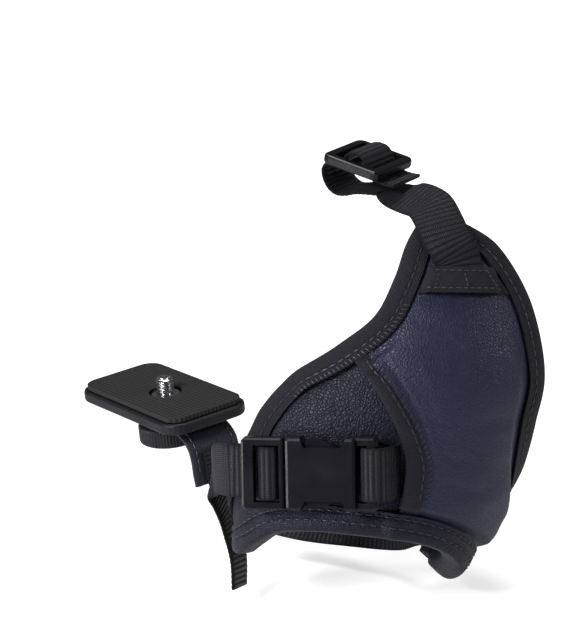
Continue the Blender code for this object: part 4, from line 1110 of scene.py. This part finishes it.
# %% Upper and lower webbing
low = OVERLAY_TOP + GAP + WEBBING / 2
crossing = OVERLAY_TOP + 2 * GAP + TAPE + WEBBING / 2
on_pad = [leaning(*place) for place in (
    (21.0, 57.2, low + 0.1 * mm, 0.9), (19.9, 59.6, low + 0.1 * mm, 0.9),
    (18.5, 62.4, low + 0.15 * mm, 0.8), (16.5, 64.4, low + 1.0 * mm, 0.4),
    (13.9, 66.1, crossing + 1.05 * mm, 0.15), (10.7, 68.7, crossing + 1.3 * mm, 0.3),
    (6.7, 73, crossing + 1.0 * mm, 0.35))]
off_pad = [free((30.0, 82.6, 19.0), (0.82, 0.45, -0.33), 0.2 * mm),
           free((27.0, 84.6, 14.4), (0.80, 0.52, -0.28)), free((22.9, 86.4, 9.6), (0.74, 0.50, -0.42))]
turn_back = [in_slider(x, z) for x, z in (
    (-11, -5.0), (-6, -5.9), (-1, -7.4), (2.5, -9.1), (5.5, -9.8), (8.3, -8.9), (10.4, -6.8),
    (11.5, -4.2), (11.4, -2.6), (10.4, -1.4), (8.8, -1.0), (6.6, -0.7), (5.0, 0.9), (3.8, 3.2),
    (2.2, 4.7), (0, 5.1), (-2.2, 4.7), (-3.8, 3.2), (-5.0, 0.9), (-6.6, -0.7), (-8.8, -1.0),
    (-12, -1.0), (-15, -0.5))]
webbing_strap("upper_strap", np.array(on_pad + off_pad + turn_back), 15 * mm, "upper_webbing")

inside_wing = -2 * GAP - TAPE - WEBBING / 2
tab_side = [in_plate(x, z) for x, z in (
    (29.9, -13.5), (30.4, -19), (31.2, -25), (34.5, -30.5), (40.5, -33))]
behind = [free((-21, -18, -61), (0.55, 0.72, -0.42)), free((-8, -20, -49), (0.40, 0.84, -0.36)),
          free((8, -20.5, -37), (0.22, 0.95, -0.20)), free((22, -20.5, -25.5), (0.10, 0.99, -0.10))]
wing = [on_form(turn, along, height) for turn, along, height in (
    (130, -19.2, inside_wing - 1.5 * mm), (121, -18.8, inside_wing - 1.2 * mm),
    (110, -18.2, inside_wing - 0.8 * mm), (98, -17.6, inside_wing - 0.6 * mm))]
webbing_strap("lower_strap", np.array(tab_side + behind + wing), 12 * mm, "lower_webbing")

# %% [markdown]
# ## The fabric band over the upper webbing's end
# A short woven band hides the sewn end of the upper webbing. It lies on the leather at both sides
# and steps up over the webbing, and a box of stitches holds it.

# %% Anchor band
def band_height(turn):
    over = ramp((turn - 0.5) / 4) * ramp((39.5 - turn) / 4)
    return OVERLAY_TOP + GAP + (WEBBING + GAP) * over


def band_point(up, way, above):
    left, right = -1 + 4.5 * up, 45 - 9.5 * up
    turn, along = left + (right - left) * way, (54 + 7 * up) * mm
    return form(turn, along, band_height(turn) + above), outward(turn, along)


up, way = np.broadcast_arrays(np.linspace(0, 1, 14)[:, None], np.linspace(0, 1, 90)[None, :])
crease = 0.12 * mm * np.sin(way * 31) * np.sin(up * 9)
soft = 0.8 * mm - 0.3 * mm * (np.abs(2 * up - 1)**6)
band = wall("lug_band", band_point(up, way, soft + crease)[0], band_point(up, way, 0 * up)[0])
dress(band, tape, replaces=["anchor_band"])
for number, level in enumerate((0.16, 0.84)):
    way = np.linspace(0.04, 0.96, 80)
    sewn(f"band_row_{number + 1}", *band_point(level + 0 * way, way, 0.78 * mm), pitch=2.2 * mm,
         length=1.5 * mm)
for number, share in enumerate((0.16, 0.5, 0.84)):
    up = np.linspace(0.1, 0.9, 20)
    sewn(f"band_column_{number + 1}", *band_point(up, share + 0 * up, 0.80 * mm), pitch=1.6 * mm,
         length=1.1 * mm)


# %% [markdown]
# ## The leather tab
# The tab is thick leather, clamped under the plate by the screw. Its end bends down to the lower
# webbing. It is a strap along a path with rounded edges, a row of stitches beside each, and a hole
# for its eyelet, cut with a plain cylinder.

# %% Tab, its hole and its stitches
RUBBER, PLATE_THICKNESS, FLANGE, HALF_TAB, WASHER, CLEAR = 1.5, 4, 0.5, 1.0, 0.8, 0.35
TAB_MIDDLE = -RUBBER - CLEAR - PLATE_THICKNESS - CLEAR - FLANGE - HALF_TAB
line = [(-20, TAB_MIDDLE - 1.4), (-15, TAB_MIDDLE - 0.4), (-9, TAB_MIDDLE), (0, TAB_MIDDLE),
        (9, TAB_MIDDLE), (16, TAB_MIDDLE), (22, TAB_MIDDLE - 1.2), (26.5, TAB_MIDDLE - 4.4),
        (28.1, TAB_MIDDLE - 9), (28.5, TAB_MIDDLE - 14), (29.2, TAB_MIDDLE - 18)]
tab_path = smooth_path([free((x, 0, z), (0, 1, 0)) for x, z in line], 140)
centre = tab_path[:, :3]
ahead = unit(np.gradient(centre, axis=0))
side = np.array([0.0, 1.0, 0.0])
normal = unit(np.cross(ahead, side))
x = spaced(41, 0.9) * 2 - 1
round_end = np.minimum(1, ((np.arange(140) + 0.5) / 9))**0.5
half = 1.0 * mm * (1 - np.abs(x)**12 * 0.6) - 0.12 * mm * np.exp(-((np.abs(x) - 0.78) / 0.05)**2)
flat = centre[:, None] + side * (10 * mm * round_end)[:, None, None] * x[None, :, None]
tab = wall("leather_tab", flat - normal[:, None] * half[None, :, None],
           flat + normal[:, None] * half[None, :, None], place=PLATE, sharp=60)
bpy.ops.mesh.primitive_cylinder_add(radius=4.95 * mm, depth=8 * mm, vertices=64,
                                    location=(0, 0, TAB_MIDDLE * mm))
punch = bpy.context.object
cut = tab.modifiers.new("eyelet_hole", "BOOLEAN")
cut.operation = "DIFFERENCE"
cut.object = punch
bpy.context.view_layer.update()
punched = bpy.data.meshes.new_from_object(tab.evaluated_get(bpy.context.evaluated_depsgraph_get()))
tab.modifiers.clear()
tab.data = punched
bpy.data.objects.remove(punch)
dress(tab, tab_leather, replaces=["base_tab"])
to_row = np.array(PAD_FRAME.inverted() @ PLATE)
for number, y in enumerate((-7.8, 7.8)):
    for face, sign in (("top", 1), ("low", -1)):
        line = centre[6:134] + side * y * mm + normal[6:134] * sign * -1.0 * mm
        on_tab = line @ to_row[:3, :3].T + to_row[:3, 3]
        sewn(f"tab_stitches_{face}_{number + 1}", on_tab,
             (normal[6:134] * -sign) @ to_row[:3, :3].T, lift=0.08 * mm)

# %% [markdown]
# ## The tripod screw
# The stud is a quarter-inch screw with twenty threads to the inch. Its radius falls and rises once
# in each pitch, and the place in the pitch also moves with the angle, which makes the thread a helix.
# The knob below has fine ribs round its rim, for grip.

# %% Threaded stud and knob
PITCH = 1.27 * mm
KNOB_TOP = (TAB_MIDDLE - HALF_TAB - CLEAR - FLANGE - CLEAR - WASHER - CLEAR) * mm
KNOB_LOW = KNOB_TOP - 7 * mm
STUD_REACH = 5.5


def threaded_stud():
    """Radius = root + depth * triangle wave of (height / pitch - angle / full turn)."""
    steps = 96
    angle = np.arange(steps) / steps * math.tau
    height = np.linspace(STUD_REACH, 0.2, 150) * mm
    phase = (height[:, None] / PITCH - angle / math.tau) % 1
    tooth = np.clip(1.25 - 2.6 * np.abs(phase - 0.5), 0, 1)
    lead = ramp((STUD_REACH * mm - height) / (0.9 * mm))[:, None]
    radius = 2.45 * mm + 0.65 * mm * tooth * lead - 0.35 * mm * (1 - lead)
    neck = -RUBBER - CLEAR + 0.3
    lower = np.array([(2.5, 0.0), (2.5, neck + 1.0), (2.5, neck - 0.2), (3.1, neck - 0.2),
                      (3.1, KNOB_TOP / mm + 0.3), (2.6, KNOB_TOP / mm + 0.3),
                      (2.6, KNOB_LOW / mm + 1.85)]) * mm
    radius = np.concatenate([radius, np.repeat(lower[:, :1], steps, axis=1)])
    height = np.concatenate([height, lower[:, 1]])
    profile = np.stack([0 * height, height], 1)
    stud = spun("threaded_stud", profile, PLATE, radius, steps, sharp=80)
    return dress(stud, steel, body="screw", replaces=["tripod_stud"])


def ribbed_knob():
    """Radius = rim + rib * wave of the angle, faded on the rounded shoulders; hollow for the stud."""
    steps = 288
    angle = np.arange(steps) / steps * math.tau
    outline = np.array([
        (3.0, -5.4, 0), (3.0, -0.2, 0), (3.4, 0, 0), (9.6, 0, 0), (10.3, -0.12, 0.2), (10.8, -0.5, 0.7),
        (10.95, -1.1, 1), (10.95, -5.9, 1), (10.8, -6.5, 0.7), (10.2, -6.9, 0.2), (9.2, -7.0, 0),
        (7.6, -7.0, 0), (7.2, -6.85, 0), (6.9, -6.5, 0), (0.02, -6.4, 0)])
    at = np.linspace(0, 1, 90)
    knots = np.linspace(0, 1, len(outline))
    rings = np.stack([np.interp(at, knots, outline[:, k]) for k in range(3)], 1)
    profile = np.stack([rings[:, 0], rings[:, 1] + KNOB_TOP / mm], 1) * mm
    rib = np.abs(np.sin(angle * 30))**0.7 * 0.32 * mm - 0.22 * mm
    knob = spun("ribbed_knob", profile, PLATE, rings[:, 2:] * rib, steps)
    return dress(knob, knob_plastic, body="screw", replaces=["tripod_knob"])


threaded_stud()
ribbed_knob()
print("thread pitch", PITCH / mm, "mm")

# %% [markdown]
# ## Floor and light
# A pale floor lies just under the strap's lowest point. Soft lamps light it from the upper left, the
# right and above, a small low one draws the edges that face left, and faint surroundings fill in.
# The background is white where the viewpoint sees it directly or through something clear. Mirror
# reflections see the faint surroundings.

# %% Floor, lamps and surroundings
FLOOR = cad_box[0][2] - 4 * mm
bpy.ops.mesh.primitive_plane_add(size=12, location=(0, 0, FLOOR))
floor = bpy.context.object
floor.name = "pale_floor"
paper = Finish("pale_paper", (0.86, 0.86, 0.86), 0.9)
reach = paper.add("ShaderNodeVectorMath", Vector=paper.where.outputs["Object"])
reach.operation = "LENGTH"
glow = paper.spread(reach.outputs["Value"], 0.10, 0.45, 0.55, 1.0)
eye = paper.nodes.new("ShaderNodeLightPath")
paper.set(paper.shader, "Emission Color", (1, 1, 1, 1))
paper.join(paper.maths("MULTIPLY", glow, eye.outputs["Is Camera Ray"]), "Emission Strength")
floor.data.materials.append(paper.material)


def lamp(name, place, aim, size, power):
    """Square area lamp that faces its aim."""
    light = bpy.data.lights.new(name, "AREA")
    light.size = size
    light.energy = power
    thing = bpy.data.objects.new(name, light)
    thing.location = place
    thing.rotation_euler = (Vector(aim) - Vector(place)).to_track_quat("-Z", "Y").to_euler()
    bpy.context.scene.collection.objects.link(thing)


MIDDLE = (0.055, -0.08, 0.03)
lamp("key_lamp", (-0.50, -0.65, 0.62), MIDDLE, 0.22, 7.5)
lamp("side_lamp", (0.85, -0.20, 0.40), MIDDLE, 0.3, 1.6)
lamp("top_lamp", (0.05, 0.25, 0.95), MIDDLE, 0.4, 4)
lamp("rim_lamp", (-0.65, -0.42, 0.10), MIDDLE, 0.16, 2.4)

world = bpy.data.worlds.new("studio")
bpy.context.scene.world = world
world.use_nodes = True
tree = world.node_tree
tree.nodes["Background"].inputs["Color"].default_value = (1, 1, 1, 1)
rays = tree.nodes.new("ShaderNodeLightPath")
seen = tree.nodes.new("ShaderNodeMath")
seen.operation = "MAXIMUM"
tree.links.new(rays.outputs["Is Camera Ray"], seen.inputs[0])
tree.links.new(rays.outputs["Is Transmission Ray"], seen.inputs[1])
level = tree.nodes.new("ShaderNodeMapRange")
tree.links.new(seen.outputs[0], level.inputs["Value"])
level.inputs["To Min"].default_value = 0.06
level.inputs["To Max"].default_value = 1.0
tree.links.new(level.outputs[0], tree.nodes["Background"].inputs["Strength"])
bpy.context.scene.view_settings.view_transform = "Standard"

# %% The end
bpy.context.view_layer.update()
